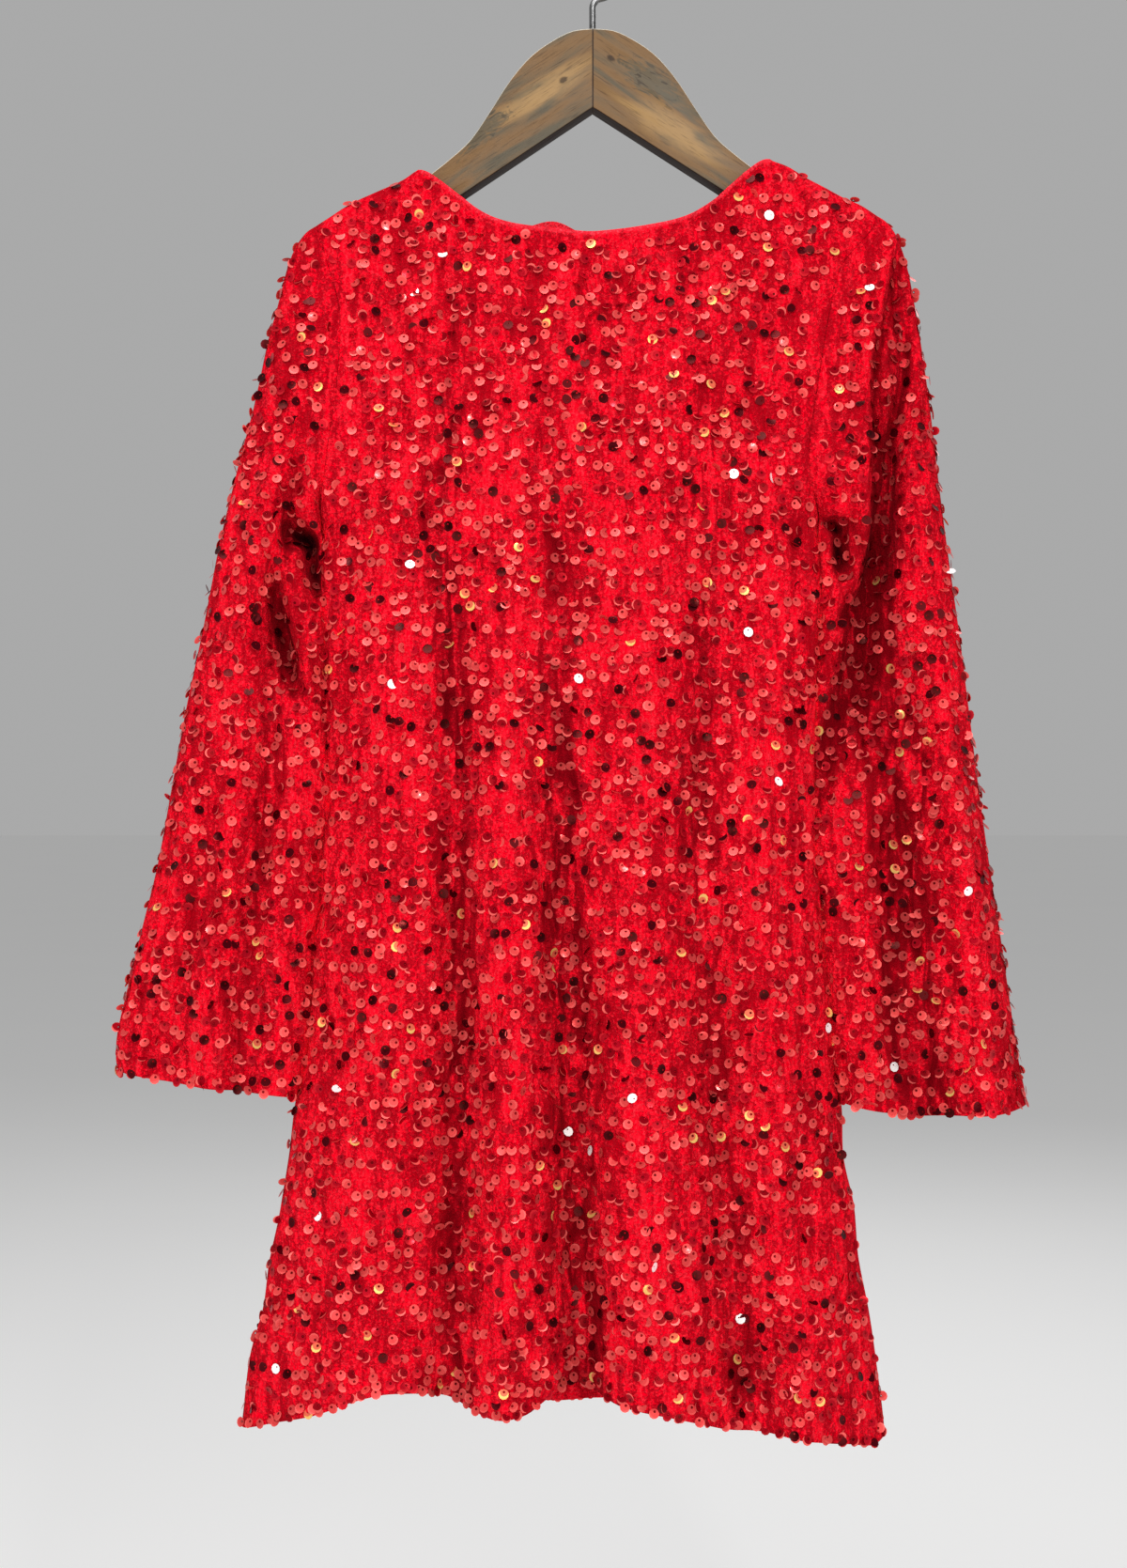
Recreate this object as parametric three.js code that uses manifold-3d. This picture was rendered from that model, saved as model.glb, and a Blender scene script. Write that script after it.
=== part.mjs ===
// A girl's long-sleeved sequin dress, hanging flat on a wooden clothes hanger.
// Millimetres. +Z is up, +X is to the right of someone who faces the dress, and -Y points at them.
// The origin is where a rail touches the inside of the hook.
import * as THREE from "three";
import { mergeVertices } from "three/addons/utils/BufferGeometryUtils.js";
import Module from "manifold-3d";

// ---------------------------------------------------------------- driving dimensions

const CLOTH = 1.8; // stretch velvet with the sequins sewn through it
const SEAM_GAP = 0.3; // between two pieces that a seam joins
const TUBE_FULLNESS = 2.6; // exponent of the flattened tubes: 2 is an ellipse, more is fuller
const INNER_FULLNESS = 3.8; // the same where a sleeve lies flat against the body
const SLEEVE_CLEARANCE = 1; // between a hanging sleeve and the body, beyond the seam's gap

const ARMPIT_Z = -303;
const ARMPIT_ROUND = 55; // height over which the armhole opens above the armpit
const SHOULDER_ROUND = 9; // depth over which the cloth turns down over the hanger
const SHOULDER_POWER = 3;
const NECK_PARTING = 1.2; // how fast the two neck edges part beside the shoulder seam
const BACK_NECK_LIFT = 1.5; // the back neck edge stands this much above the front one
const BACK_NECK_BUMP = { x: -30, width: 22, rise: 6 }; // where the back edge has ridden up
const ARMHOLE_REACH = 8; // exponent that keeps the armholes' opening near the panel's edges
const EDGE_FADE = 8; // exponent that calms the folds beside the side seams

const HOOK = {
  wire: 3.5, // diameter
  insideRadius: 16,
  neckRadius: 5, // small bend between the stem and the loop
  stem: 12.5, // straight wire above the wood
  tipAngle: 205, // where the loop ends, in degrees from +X
  sides: 10,
  steps: 56,
};

const HANGER = {
  thickness: 11.8,
  centreHeight: 40,
  undersideSlope: 0.655,
  straightUnderside: 74, // how far the straight underside runs from the joint
  armHeight: 20,
  armReachInside: 4, // the arms stop this far inside the shoulder points
  lean: 0.014, // rise of the right arm for each millimetre across
  edgeRound: 2.4,
  clothClearance: 1.1,
};

// ---------------------------------------------------------------- tables of sizes

// Turns rows of numbers into rows with named columns.
function table(columns, rows) {
  return rows.map((row) => Object.fromEntries(columns.map((name, i) => [name, row[i]])));
}

// Body, by height: the two edges of the hanging tube, how far the front and the back stand
// from the middle plane, and half the armhole's opening there.
const BODY = table(
  ["z", "left", "right", "front", "back", "armhole"],
  [
    [-116, -140, 143, 9.4, 9.4, 9.4],
    [-150, -140, 143, 11, 10.5, 9.8],
    [-172, -134, 126, 13, 12.5, 11],
    [-196, -128, 119.5, 16, 15, 12.5],
    [-230, -129, 113.8, 19, 18, 14],
    [-269, -134.5, 109, 21.5, 20, 15],
    [-303, -138.5, 115.5, 23, 21.5, 15],
    [-346, -138.2, 117.6, 24, 22.5, 15],
    [-394, -137.8, 114.7, 25, 23.5, 15],
    [-437, -136, 113.3, 26, 24.5, 15],
    [-490, -140, 116.6, 27.5, 25.5, 15],
    [-560, -146, 122.4, 29.5, 27, 15],
    [-609, -153, 127.2, 31, 28, 15],
    [-671, -162.7, 135, 32.5, 29.5, 15],
    [-723, -174, 143.5, 33.5, 30.5, 15],
    [-770, -180, 149, 34, 31, 15],
  ],
);

const LEFT_SHOULDER = table(
  ["x", "z"],
  [
    [-140, -150],
    [-134, -146.4],
    [-123, -139.4],
    [-109.4, -133],
    [-97, -127.4],
    [-89.8, -122.4],
  ],
);

const RIGHT_SHOULDER = table(
  ["x", "z"],
  [
    [91.7, -117.4],
    [99.4, -120.4],
    [106.6, -125.2],
    [117, -131],
    [125.8, -136],
    [134.4, -139.8],
    [143, -145],
  ],
);

const NECKLINE = table(
  ["x", "z"],
  [
    [-89.8, -122.4],
    [-82.1, -125.6],
    [-67.2, -136.8],
    [-59, -143.3],
    [-49.9, -148.1],
    [-37, -151.5],
    [-6, -155],
    [5, -155],
    [27.4, -152],
    [46.6, -147.2],
    [59.5, -139.5],
    [67.2, -132.8],
    [76.3, -125.1],
    [85, -119],
    [91.7, -117.4],
  ],
);

// Hems, by place across the panel from -1 at its left edge to 1 at its right edge.
const FRONT_HEM = table(
  ["across", "z"],
  [
    [-1, -761],
    [-0.9, -755],
    [-0.78, -749],
    [-0.62, -739],
    [-0.5, -736],
    [-0.32, -744.5],
    [-0.2, -749],
    [-0.1, -743],
    [0.05, -734.5],
    [0.17, -742],
    [0.3, -745],
    [0.42, -750.5],
    [0.55, -757],
    [0.72, -759],
    [0.87, -764],
    [0.95, -767],
    [1, -764.5],
  ],
);

const BACK_HEM = table(
  ["across", "z"],
  [
    [-1, -761],
    [-0.75, -752],
    [-0.5, -750],
    [-0.25, -755],
    [0, -760],
    [0.25, -757],
    [0.5, -761],
    [0.8, -765],
    [1, -764.5],
  ],
);

// Folds of a panel: place across it at the armpits and at the hem, how far the cloth stands
// out (a furrow is negative), half its width across, and where it starts and is full.
const FOLD_COLUMNS = ["top", "hem", "rise", "width", "starts", "full"];

const FRONT_FOLDS = table(FOLD_COLUMNS, [
  [-0.7, -0.66, 4, 0.19, -260, -560],
  [-0.36, -0.31, -11, 0.1, -290, -520],
  [-0.16, -0.14, 7, 0.085, -330, -600],
  [0.04, 0.06, -15, 0.095, -290, -700],
  [0.31, 0.3, 5, 0.12, -330, -560],
  [0.54, 0.55, -9, 0.095, -270, -560],
  [0.75, 0.73, 6, 0.09, -330, -600],
]);

const BACK_FOLDS = table(FOLD_COLUMNS, [
  [-0.72, -0.68, -8, 0.1, -300, -560],
  [-0.46, -0.45, 6, 0.12, -320, -600],
  [-0.2, -0.22, -10, 0.1, -280, -540],
  [0.06, 0.04, 6, 0.11, -340, -620],
  [0.3, 0.32, -11, 0.1, -290, -560],
  [0.58, 0.6, 7, 0.12, -330, -600],
]);

// Sleeves, by section from the armhole to the cuff: the height of the section's end beside the
// body, its end on the outer edge, half its depth, and how far its middle plane lies back.
const SLEEVE_COLUMNS = ["innerZ", "outerX", "outerZ", "depth", "back"];

const LEFT_SLEEVE = table(SLEEVE_COLUMNS, [
  [-303, -140.3, -150, 14, 0],
  [-303.3, -146.3, -154, 15, 0],
  [-304, -151.6, -161.5, 16, 0],
  [-305.5, -155.8, -172, 17, 0.5],
  [-308, -160.5, -190, 17.5, 1],
  [-312, -166, -210, 18, 1.5],
  [-319, -172.5, -240, 18, 2],
  [-330, -181, -272, 18, 2.5],
  [-346, -190.5, -311, 18, 3],
  [-368, -199, -354, 18, 3.5],
  [-398, -208, -396, 18.5, 4],
  [-437, -215.5, -437, 19, 4],
  [-475, -222.7, -476, 19.5, 4],
  [-512, -231, -510, 20.5, 4],
  [-545, -238.5, -541, 21.5, 4],
  [-568, -243, -561, 22, 4],
  [-586, -243.8, -574, 22.5, 4],
  [-593, -242.6, -580, 22.5, 4],
]);

const RIGHT_SLEEVE = table(SLEEVE_COLUMNS, [
  [-303, 143.3, -145, 14, 0],
  [-303.3, 149.2, -149, 15, 0],
  [-304, 154.8, -157, 16, 0],
  [-305.5, 160, -171, 17, 0.5],
  [-308, 164.3, -191, 17.5, 1],
  [-312, 168.3, -215, 18, 1.5],
  [-318, 172.3, -243, 18, 2],
  [-328, 176.6, -279, 18, 2.5],
  [-343, 181.8, -318, 18, 3],
  [-367, 187.3, -356, 18, 3.5],
  [-400, 192.6, -397, 18.5, 4],
  [-437, 197.6, -437, 19, 4],
  [-475, 202.9, -475, 20, 4],
  [-512, 208.6, -512, 21, 4],
  [-545, 213.6, -547, 22, 4],
  [-570, 217.6, -574, 22.5, 4],
  [-588, 220.8, -590, 23, 4],
  [-595, 222, -597, 23, 4],
]);

// Folds of a sleeve: place from its outer edge (0) to its inner edge (1) at the shoulder and
// at the cuff, how far the cloth stands out, half its width, and the sections where it
// starts and is full. Those of the front come first, then those of the back.
const SLEEVE_FOLD_COLUMNS = ["side", "top", "cuff", "rise", "width", "starts", "full"];

const LEFT_SLEEVE_FOLDS = table(SLEEVE_FOLD_COLUMNS, [
  ["front", 0.42, 0.62, -7, 0.1, 1, 6],
  ["front", 0.2, 0.36, -5, 0.09, 8, 14],
  ["front", 0.3, 0.5, 4, 0.1, 3, 10],
  ["back", 0.45, 0.5, -8, 0.12, 3, 9],
  ["back", 0.25, 0.24, 5, 0.12, 6, 14],
]);

const RIGHT_SLEEVE_FOLDS = table(SLEEVE_FOLD_COLUMNS, [
  ["front", 0.46, 0.58, -13, 0.13, 1, 6],
  ["front", 0.2, 0.26, 5, 0.13, 3, 10],
  ["front", 0.74, 0.8, 3, 0.09, 3, 9],
  ["back", 0.5, 0.5, -9, 0.12, 3, 9],
  ["back", 0.28, 0.3, 4, 0.12, 6, 14],
]);

// Top line of the hanger where it shows above the neck, from the joint outwards.
const HANGER_TOP = table(
  ["out", "drop"],
  [
    [0, 0],
    [10, 1],
    [19, 5],
    [31, 13.2],
    [41.5, 25],
    [52, 41],
    [62, 55.5],
    [73, 65.5],
    [82, 72.6],
  ],
);

// ---------------------------------------------------------------- measuring along tables

const mix = (from, to, share) => from + (to - from) * share;
const clamp = (value, low, high) => Math.min(Math.max(value, low), high);

// Goes from 0 at `from` to 1 at `to`, softly at both ends.
function ease(from, to, value) {
  const share = clamp((value - from) / (to - from), 0, 1);
  return share * share * (3 - 2 * share);
}

// Quarter round: 0 at no distance, 1 at `radius` and beyond; a higher power is squarer.
function quarterRound(distance, radius, power) {
  const rest = 1 - clamp(distance / radius, 0, 1);
  return (1 - rest ** power) ** (1 / power);
}

// Reads one column of a table on a smooth curve through its rows.
function along(rows, key, column, value) {
  const rising = rows[0][key] < rows[rows.length - 1][key];
  const ordered = rising ? rows : [...rows].reverse();
  const last = ordered.length - 1;
  const place = clamp(value, ordered[0][key], ordered[last][key]);
  let i = 0;
  while (i < last - 1 && place > ordered[i + 1][key]) i += 1;
  const slope = (a, b) => (ordered[b][column] - ordered[a][column]) / (ordered[b][key] - ordered[a][key]);
  const startSlope = slope(Math.max(i - 1, 0), i + 1);
  const endSlope = slope(i, Math.min(i + 2, last));
  const step = ordered[i + 1][key] - ordered[i][key];
  const u = (place - ordered[i][key]) / step;
  const start = ordered[i][column];
  const end = ordered[i + 1][column];
  const rise = u * u * (3 - 2 * u);
  return mix(start, end, rise) + step * (startSlope * u * (1 - u) ** 2 - endSlope * u * u * (1 - u));
}

const bell = (offset, width) => Math.exp(-((offset / width) ** 2));

// ---------------------------------------------------------------- form of the body

const SHOULDER_MIDDLE = (BODY[0].left + BODY[0].right) / 2;
const SHOULDER_HALF = (BODY[0].right - BODY[0].left) / 2;
const NECK_LEFT = (NECKLINE[0].x - SHOULDER_MIDDLE) / SHOULDER_HALF;
const NECK_RIGHT = (NECKLINE[NECKLINE.length - 1].x - SHOULDER_MIDDLE) / SHOULDER_HALF;

const PANELS = {
  front: { facing: -1, hem: FRONT_HEM, folds: FRONT_FOLDS, neckLift: () => 0 },
  back: {
    facing: 1,
    hem: BACK_HEM,
    folds: BACK_FOLDS,
    neckLift: (x) => BACK_NECK_LIFT + BACK_NECK_BUMP.rise * bell(x - BACK_NECK_BUMP.x, BACK_NECK_BUMP.width),
  },
};

// How far inside the neck opening a place across the panel lies, in millimetres.
function insideNeck(across) {
  return SHOULDER_HALF * Math.max(0, Math.min(across - NECK_LEFT, NECK_RIGHT - across));
}

// Height of the panel's top edge: its shoulder seams and the neckline between them.
function topEdge(panel, across) {
  const x = SHOULDER_MIDDLE + SHOULDER_HALF * across;
  if (across <= NECK_LEFT) return along(LEFT_SHOULDER, "x", "z", x);
  if (across >= NECK_RIGHT) return along(RIGHT_SHOULDER, "x", "z", x);
  const parted = ease(0, BACK_NECK_BUMP.width, insideNeck(across));
  return along(NECKLINE, "x", "z", x) + parted * panel.neckLift(x);
}

// Half the armhole's opening at a height, `under` below the shoulder seam.
function armholeDepth(z, under) {
  const closing = quarterRound(z - ARMPIT_Z, ARMPIT_ROUND, 2);
  return along(BODY, "z", "armhole", z) * closing * quarterRound(under, SHOULDER_ROUND, SHOULDER_POWER);
}

// How far the panel's folds push the cloth outwards.
function foldRise(folds, across, z) {
  const calm = 1 - Math.abs(across) ** EDGE_FADE;
  const hemShare = clamp((ARMPIT_Z - z) / (ARMPIT_Z - BODY[BODY.length - 1].z), 0, 1);
  const rise = folds.reduce((sum, fold) => {
    const place = mix(fold.top, fold.hem, hemShare);
    return sum + fold.rise * bell(across - place, fold.width) * ease(fold.starts, fold.full, z);
  }, 0);
  return calm * rise;
}

// Point of a panel's outer surface.
function bodyPoint(name, across, z) {
  const panel = PANELS[name];
  const left = along(BODY, "z", "left", z);
  const right = along(BODY, "z", "right", z);
  const under = topEdge(panel, across) - z + NECK_PARTING * insideNeck(across);
  const full = along(BODY, "z", name, z) * quarterRound(under, SHOULDER_ROUND, SHOULDER_POWER);
  const lens = (1 - Math.abs(across) ** TUBE_FULLNESS) ** (1 / TUBE_FULLNESS);
  const opened = armholeDepth(z, under) * Math.abs(across) ** ARMHOLE_REACH;
  const depth = full * lens + opened + foldRise(panel.folds, across, z);
  const y = panel.facing * Math.max(depth, SEAM_GAP / 2);
  return new THREE.Vector3(mix(left, right, (1 + across) / 2), y, z);
}

// ---------------------------------------------------------------- form of the sleeves

const SLEEVES = {
  sleeve_left: { outward: -1, edge: "left", shoulder: -1, rows: LEFT_SLEEVE, folds: LEFT_SLEEVE_FOLDS },
  sleeve_right: { outward: 1, edge: "right", shoulder: 1, rows: RIGHT_SLEEVE, folds: RIGHT_SLEEVE_FOLDS },
};
const SECTIONS = LEFT_SLEEVE.length - 1;
const HEAD_SECTIONS = 5; // over which the armhole's shape becomes a flattened tube

// Edge of a sleeve beside the body, which it hangs against.
function sleeveInnerX(sleeve, section, z) {
  const clearance = SLEEVE_CLEARANCE * ease(0, HEAD_SECTIONS, section);
  return along(BODY, "z", sleeve.edge, z) + sleeve.outward * (SEAM_GAP + clearance);
}

// Depth of a sleeve's section, from 0 at its ends to 1 in its middle.
function sleeveLens(share) {
  const fullness = share > 0.5 ? INNER_FULLNESS : TUBE_FULLNESS;
  return (1 - Math.abs(2 * share - 1) ** fullness) ** (1 / fullness);
}

// Point of the armhole seam on the sleeve's side, `share` of the way down from the shoulder.
function armholePoint(sleeve, share) {
  const top = topEdge(PANELS.front, sleeve.shoulder);
  const z = mix(top, ARMPIT_Z, share);
  const x = along(BODY, "z", sleeve.edge, z) + sleeve.outward * SEAM_GAP;
  return { x, z, depth: armholeDepth(z, top - z) };
}

// Point of a sleeve's outer surface: section number, share from outer to inner edge, side.
function sleevePoint(name, section, share, side) {
  const sleeve = SLEEVES[name];
  const row = sleeve.rows[section];
  const armhole = armholePoint(sleeve, share);
  const head = sleeve.rows[0];
  const settled = ease(0, HEAD_SECTIONS, section);
  const headX = mix(head.outerX, sleeveInnerX(sleeve, 0, head.innerZ), share);
  const bowX = (armhole.x - headX) * (1 - settled);
  const bowZ = (armhole.z - mix(head.outerZ, head.innerZ, share)) * (1 - settled);
  const folds = sleeve.folds.filter((fold) => fold.side === side);
  const calm = 1 - Math.abs(2 * share - 1) ** EDGE_FADE;
  const rise = folds.reduce((sum, fold) => {
    const place = mix(fold.top, fold.cuff, section / SECTIONS);
    return sum + fold.rise * bell(share - place, fold.width) * ease(fold.starts, fold.full, section);
  }, 0);
  const depth = mix(armhole.depth, row.depth * sleeveLens(share), settled) + calm * rise;
  const x = mix(row.outerX, sleeveInnerX(sleeve, section, row.innerZ), share) + bowX;
  const z = mix(row.outerZ, row.innerZ, share) + bowZ;
  return new THREE.Vector3(x, row.back + (side === "front" ? -depth : depth), z);
}

// ---------------------------------------------------------------- walls from grids of points

// Normal of a grid of points at one place, from its neighbours; `looped` joins the row's ends.
function gridNormal(grid, row, column, looped) {
  const columns = grid[0].length;
  const before = looped ? (column + columns - 1) % columns : Math.max(column - 1, 0);
  const after = looped ? (column + 1) % columns : Math.min(column + 1, columns - 1);
  const above = Math.max(row - 1, 0);
  const below = Math.min(row + 1, grid.length - 1);
  const acrossStep = grid[row][after].clone().sub(grid[row][before]);
  const downStep = grid[below][column].clone().sub(grid[above][column]);
  return acrossStep.cross(downStep).normalize();
}

// Closed body between an outer and an inner grid, with rims along the open edges.
function wallBetween(outer, inner, looped) {
  const rows = outer.length;
  const columns = outer[0].length;
  const positions = [...outer.flat(), ...inner.flat()].flatMap((point) => point.toArray());
  const innerStart = rows * columns;
  const at = (row, column) => row * columns + (column % columns);
  const faces = [];
  const quad = (a, b, c, d) => faces.push(a, b, c, a, c, d);
  const cells = looped ? columns : columns - 1;
  for (let row = 0; row < rows - 1; row += 1) {
    for (let column = 0; column < cells; column += 1) {
      const corners = [at(row, column), at(row + 1, column), at(row + 1, column + 1), at(row, column + 1)];
      quad(...corners);
      quad(...corners.map((corner) => corner + innerStart).reverse());
    }
  }
  const rim = (a, b) => quad(a, b, b + innerStart, a + innerStart);
  for (let column = 0; column < cells; column += 1) {
    rim(at(0, column), at(0, column + 1));
    rim(at(rows - 1, column + 1), at(rows - 1, column));
  }
  for (let row = 0; row < rows - 1 && !looped; row += 1) {
    rim(at(row + 1, 0), at(row, 0));
    rim(at(row, columns - 1), at(row + 1, columns - 1));
  }
  return facingOut(positions, faces);
}

// Geometry whose faces point out, whichever way round they were listed.
function facingOut(positions, faces) {
  const geometry = new THREE.BufferGeometry();
  geometry.setAttribute("position", new THREE.Float32BufferAttribute(positions, 3));
  const corner = (i) => new THREE.Vector3().fromArray(positions, 3 * faces[i]);
  let volume = 0;
  for (let i = 0; i < faces.length; i += 3) {
    volume += corner(i).dot(corner(i + 1).cross(corner(i + 2)));
  }
  geometry.setIndex(volume > 0 ? faces : [...faces].reverse());
  geometry.computeVertexNormals();
  return geometry;
}

// ---------------------------------------------------------------- front and back

// Places across a panel: close together at its edges, with one on each neck point.
const EDGE_COLUMNS = 7;
const NECK_COLUMNS = 24;

function panelColumns() {
  const columns = [];
  for (let i = 0; i < EDGE_COLUMNS; i += 1) {
    columns.push(mix(-1, NECK_LEFT, 1 - Math.cos((Math.PI / 2) * (i / EDGE_COLUMNS))));
  }
  for (let i = 0; i <= NECK_COLUMNS; i += 1) {
    columns.push(mix(NECK_LEFT, NECK_RIGHT, i / NECK_COLUMNS));
  }
  for (let i = EDGE_COLUMNS - 1; i >= 0; i -= 1) {
    columns.push(mix(1, NECK_RIGHT, 1 - Math.cos((Math.PI / 2) * (i / EDGE_COLUMNS))));
  }
  return columns;
}

// Shares of the way from the top edge to the armpit, and from there to the hem.
const UPPER_ROWS = [0, 0.003, 0.01, 0.03, 0.065, 0.12, 0.2, 0.3, 0.41, 0.53, 0.65, 0.77, 0.87, 0.94, 0.98, 1];
const LOWER_ROWS = [0.03, 0.09, 0.18, 0.28, 0.38, 0.48, 0.58, 0.68, 0.78, 0.88, 0.95, 1];

function panelHeight(panel, across, row) {
  if (row < UPPER_ROWS.length) return mix(topEdge(panel, across), ARMPIT_Z, UPPER_ROWS[row]);
  const hem = along(panel.hem, "across", "z", across);
  return mix(ARMPIT_Z, hem, LOWER_ROWS[row - UPPER_ROWS.length]);
}

// Inside point of the wall on the armhole seam: it stays in the seam's own surface.
function armholeInside(name, grid, row, edge, column) {
  const point = grid[row][column];
  const last = UPPER_ROWS.length - 1;
  const facing = PANELS[name].facing;
  const inward = new THREE.Vector2(0, row === 0 ? -1 : 1);
  if (row > 0 && row < last) {
    const step = grid[row + 1][column].clone().sub(grid[row - 1][column]);
    inward.set(step.z * facing, -step.y * facing).normalize();
  }
  const z = point.z + CLOTH * inward.y;
  const y = facing * Math.max(facing * point.y + CLOTH * facing * inward.x, SEAM_GAP / 2);
  return new THREE.Vector3(along(BODY, "z", edge, z), y, z);
}

function buildPanel(name) {
  const panel = PANELS[name];
  const columns = panelColumns();
  const rowCount = UPPER_ROWS.length + LOWER_ROWS.length;
  const outer = [];
  for (let row = 0; row < rowCount; row += 1) {
    outer.push(columns.map((across) => bodyPoint(name, across, panelHeight(panel, across, row))));
  }
  const lastColumn = columns.length - 1;
  const armpitRow = UPPER_ROWS.length - 1;
  const inner = outer.map((points, row) => points.map((point, column) => {
    const onLeft = column === 0;
    const onRight = column === lastColumn;
    if ((onLeft || onRight) && row <= armpitRow) {
      return armholeInside(name, outer, row, onLeft ? "left" : "right", column);
    }
    if (onLeft || onRight) return point.clone().add(new THREE.Vector3(onLeft ? CLOTH : -CLOTH, 0, 0));
    const onShoulder = row === 0 && insideNeck(columns[column]) === 0;
    if (onShoulder) {
      const line = points[column + 1].clone().sub(points[column - 1]).setY(0).normalize();
      return point.clone().add(new THREE.Vector3(line.z, 0, -line.x).multiplyScalar(CLOTH));
    }
    const normal = gridNormal(outer, row, column, false).multiplyScalar(-panel.facing * CLOTH);
    return point.clone().add(normal);
  }));
  return wallBetween(outer, inner, false);
}

// ---------------------------------------------------------------- sleeves

// Around a section: down the front from the outer edge to the inner edge, and back behind.
function buildSleeve(name) {
  const sleeve = SLEEVES[name];
  const shares = UPPER_ROWS;
  const outer = [];
  for (let section = 0; section <= SECTIONS; section += 1) {
    const front = shares.map((share) => sleevePoint(name, section, share, "front"));
    const back = shares.slice(1, -1).reverse().map((share) => sleevePoint(name, section, share, "back"));
    outer.push([...front, ...back]);
  }
  const around = outer[0].length;
  const turned = -sleeve.outward * CLOTH;
  const inner = outer.map((points, section) => points.map((point, column) => {
    if (section > 0) {
      return point.clone().add(gridNormal(outer, section, column, true).multiplyScalar(turned));
    }
    const step = points[(column + 1) % around].clone().sub(points[(column + around - 1) % around]);
    const inward = new THREE.Vector2(-step.z, step.y).normalize();
    const z = point.z + CLOTH * inward.y;
    const x = along(BODY, "z", sleeve.edge, z) + sleeve.outward * SEAM_GAP;
    return new THREE.Vector3(x, point.y + CLOTH * inward.x, z);
  }));
  return wallBetween(outer, inner, true);
}

// ---------------------------------------------------------------- hanger

const LOOP_RADIUS = HOOK.insideRadius + HOOK.wire / 2;
const LOOP_Z = -HOOK.insideRadius;
const STEM_TOP_Z = LOOP_Z - Math.sqrt((LOOP_RADIUS + HOOK.neckRadius) ** 2 - HOOK.neckRadius ** 2);
const WOOD_TOP_Z = STEM_TOP_Z - HOOK.stem;

// Stem, small bend to the right and loop, as one round wire.
class HookLine extends THREE.Curve {
  constructor() {
    super();
    const lean = Math.atan2(LOOP_Z - STEM_TOP_Z, -HOOK.neckRadius);
    this.stemLength = STEM_TOP_Z - WOOD_TOP_Z - SEAM_GAP;
    this.bendAngle = Math.PI - lean;
    this.bendLength = HOOK.neckRadius * this.bendAngle;
    this.loopStart = lean - Math.PI;
    this.loopAngle = THREE.MathUtils.degToRad(HOOK.tipAngle) - this.loopStart;
    this.length = this.stemLength + this.bendLength + LOOP_RADIUS * this.loopAngle;
  }

  getPoint(share, target = new THREE.Vector3()) {
    const run = share * this.length;
    if (run <= this.stemLength) return target.set(0, 0, WOOD_TOP_Z + SEAM_GAP + run);
    const bendRun = run - this.stemLength;
    if (bendRun <= this.bendLength) {
      const angle = Math.PI - bendRun / HOOK.neckRadius;
      const x = HOOK.neckRadius * (1 + Math.cos(angle));
      return target.set(x, 0, STEM_TOP_Z + HOOK.neckRadius * Math.sin(angle));
    }
    const angle = this.loopStart + (bendRun - this.bendLength) / LOOP_RADIUS;
    return target.set(LOOP_RADIUS * Math.cos(angle), 0, LOOP_Z + LOOP_RADIUS * Math.sin(angle));
  }
}

function buildHook() {
  const section = new THREE.Shape();
  section.absarc(0, 0, HOOK.wire / 2, 0, 2 * Math.PI, false);
  const options = { steps: HOOK.steps, curveSegments: HOOK.sides / 2, extrudePath: new HookLine() };
  return new THREE.ExtrudeGeometry(section, { ...options, bevelEnabled: false });
}

// Top of the wood at a distance from the joint: the visible curve, then under the shoulder.
function hangerTop(outward, out) {
  const lift = outward * HANGER.lean * out;
  const shownEnd = HANGER_TOP[HANGER_TOP.length - 1].out;
  if (out <= shownEnd) return WOOD_TOP_Z - along(HANGER_TOP, "out", "drop", out) + lift;
  const shoulder = outward < 0 ? LEFT_SHOULDER : RIGHT_SHOULDER;
  const height = (place) => along(shoulder, "x", "z", outward * place);
  const slope = (height(out + 2) - height(out - 2)) / 4;
  return height(out) - (CLOTH + HANGER.clothClearance) * Math.hypot(1, slope);
}

// Outline of one half in X and Z, from the joint along the top, round the tip and back.
function hangerOutline(outward) {
  const shoulderX = outward < 0 ? LEFT_SHOULDER[0].x : RIGHT_SHOULDER[RIGHT_SHOULDER.length - 1].x;
  const tip = Math.abs(shoulderX) - HANGER.armReachInside;
  const shownEnd = HANGER_TOP[HANGER_TOP.length - 1].out;
  const hiddenStart = Math.abs(outward < 0 ? NECKLINE[0].x : NECKLINE[NECKLINE.length - 1].x) + 4;
  const tipStart = tip - HANGER.armHeight / 2;
  const top = [];
  for (let i = 0; i <= 20; i += 1) top.push(mix(0, shownEnd, i / 20));
  for (let i = 0; i <= 6; i += 1) top.push(mix(hiddenStart, tipStart, i / 6));
  const topLine = top.map((out) => [out, hangerTop(outward, out)]);
  const tipTop = topLine[topLine.length - 1][1];
  const tipArc = [];
  for (let i = 1; i < 8; i += 1) {
    const angle = (Math.PI * i) / 8;
    const rise = (HANGER.armHeight / 2) * (Math.cos(angle) - 1);
    const slant = -0.4 * (HANGER.armHeight / 2) * Math.sin(angle);
    tipArc.push([tipStart + (HANGER.armHeight / 2) * Math.sin(angle), tipTop + rise + slant]);
  }
  const apex = WOOD_TOP_Z - HANGER.centreHeight;
  const lift = outward * HANGER.lean * HANGER.straightUnderside;
  const bendPoint = [HANGER.straightUnderside, apex - HANGER.undersideSlope * HANGER.straightUnderside + lift];
  const underLine = [0, 2, 4].map((i) => mix(tipStart, hiddenStart + 4, i / 4));
  const under = underLine.map((out) => [out, hangerTop(outward, out) - HANGER.armHeight]);
  return [...topLine, ...tipArc, ...under, bendPoint, [0, apex]];
}

// ---------------------------------------------------------------- joining and cutting

const manifold = await Module();
manifold.setup();

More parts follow.
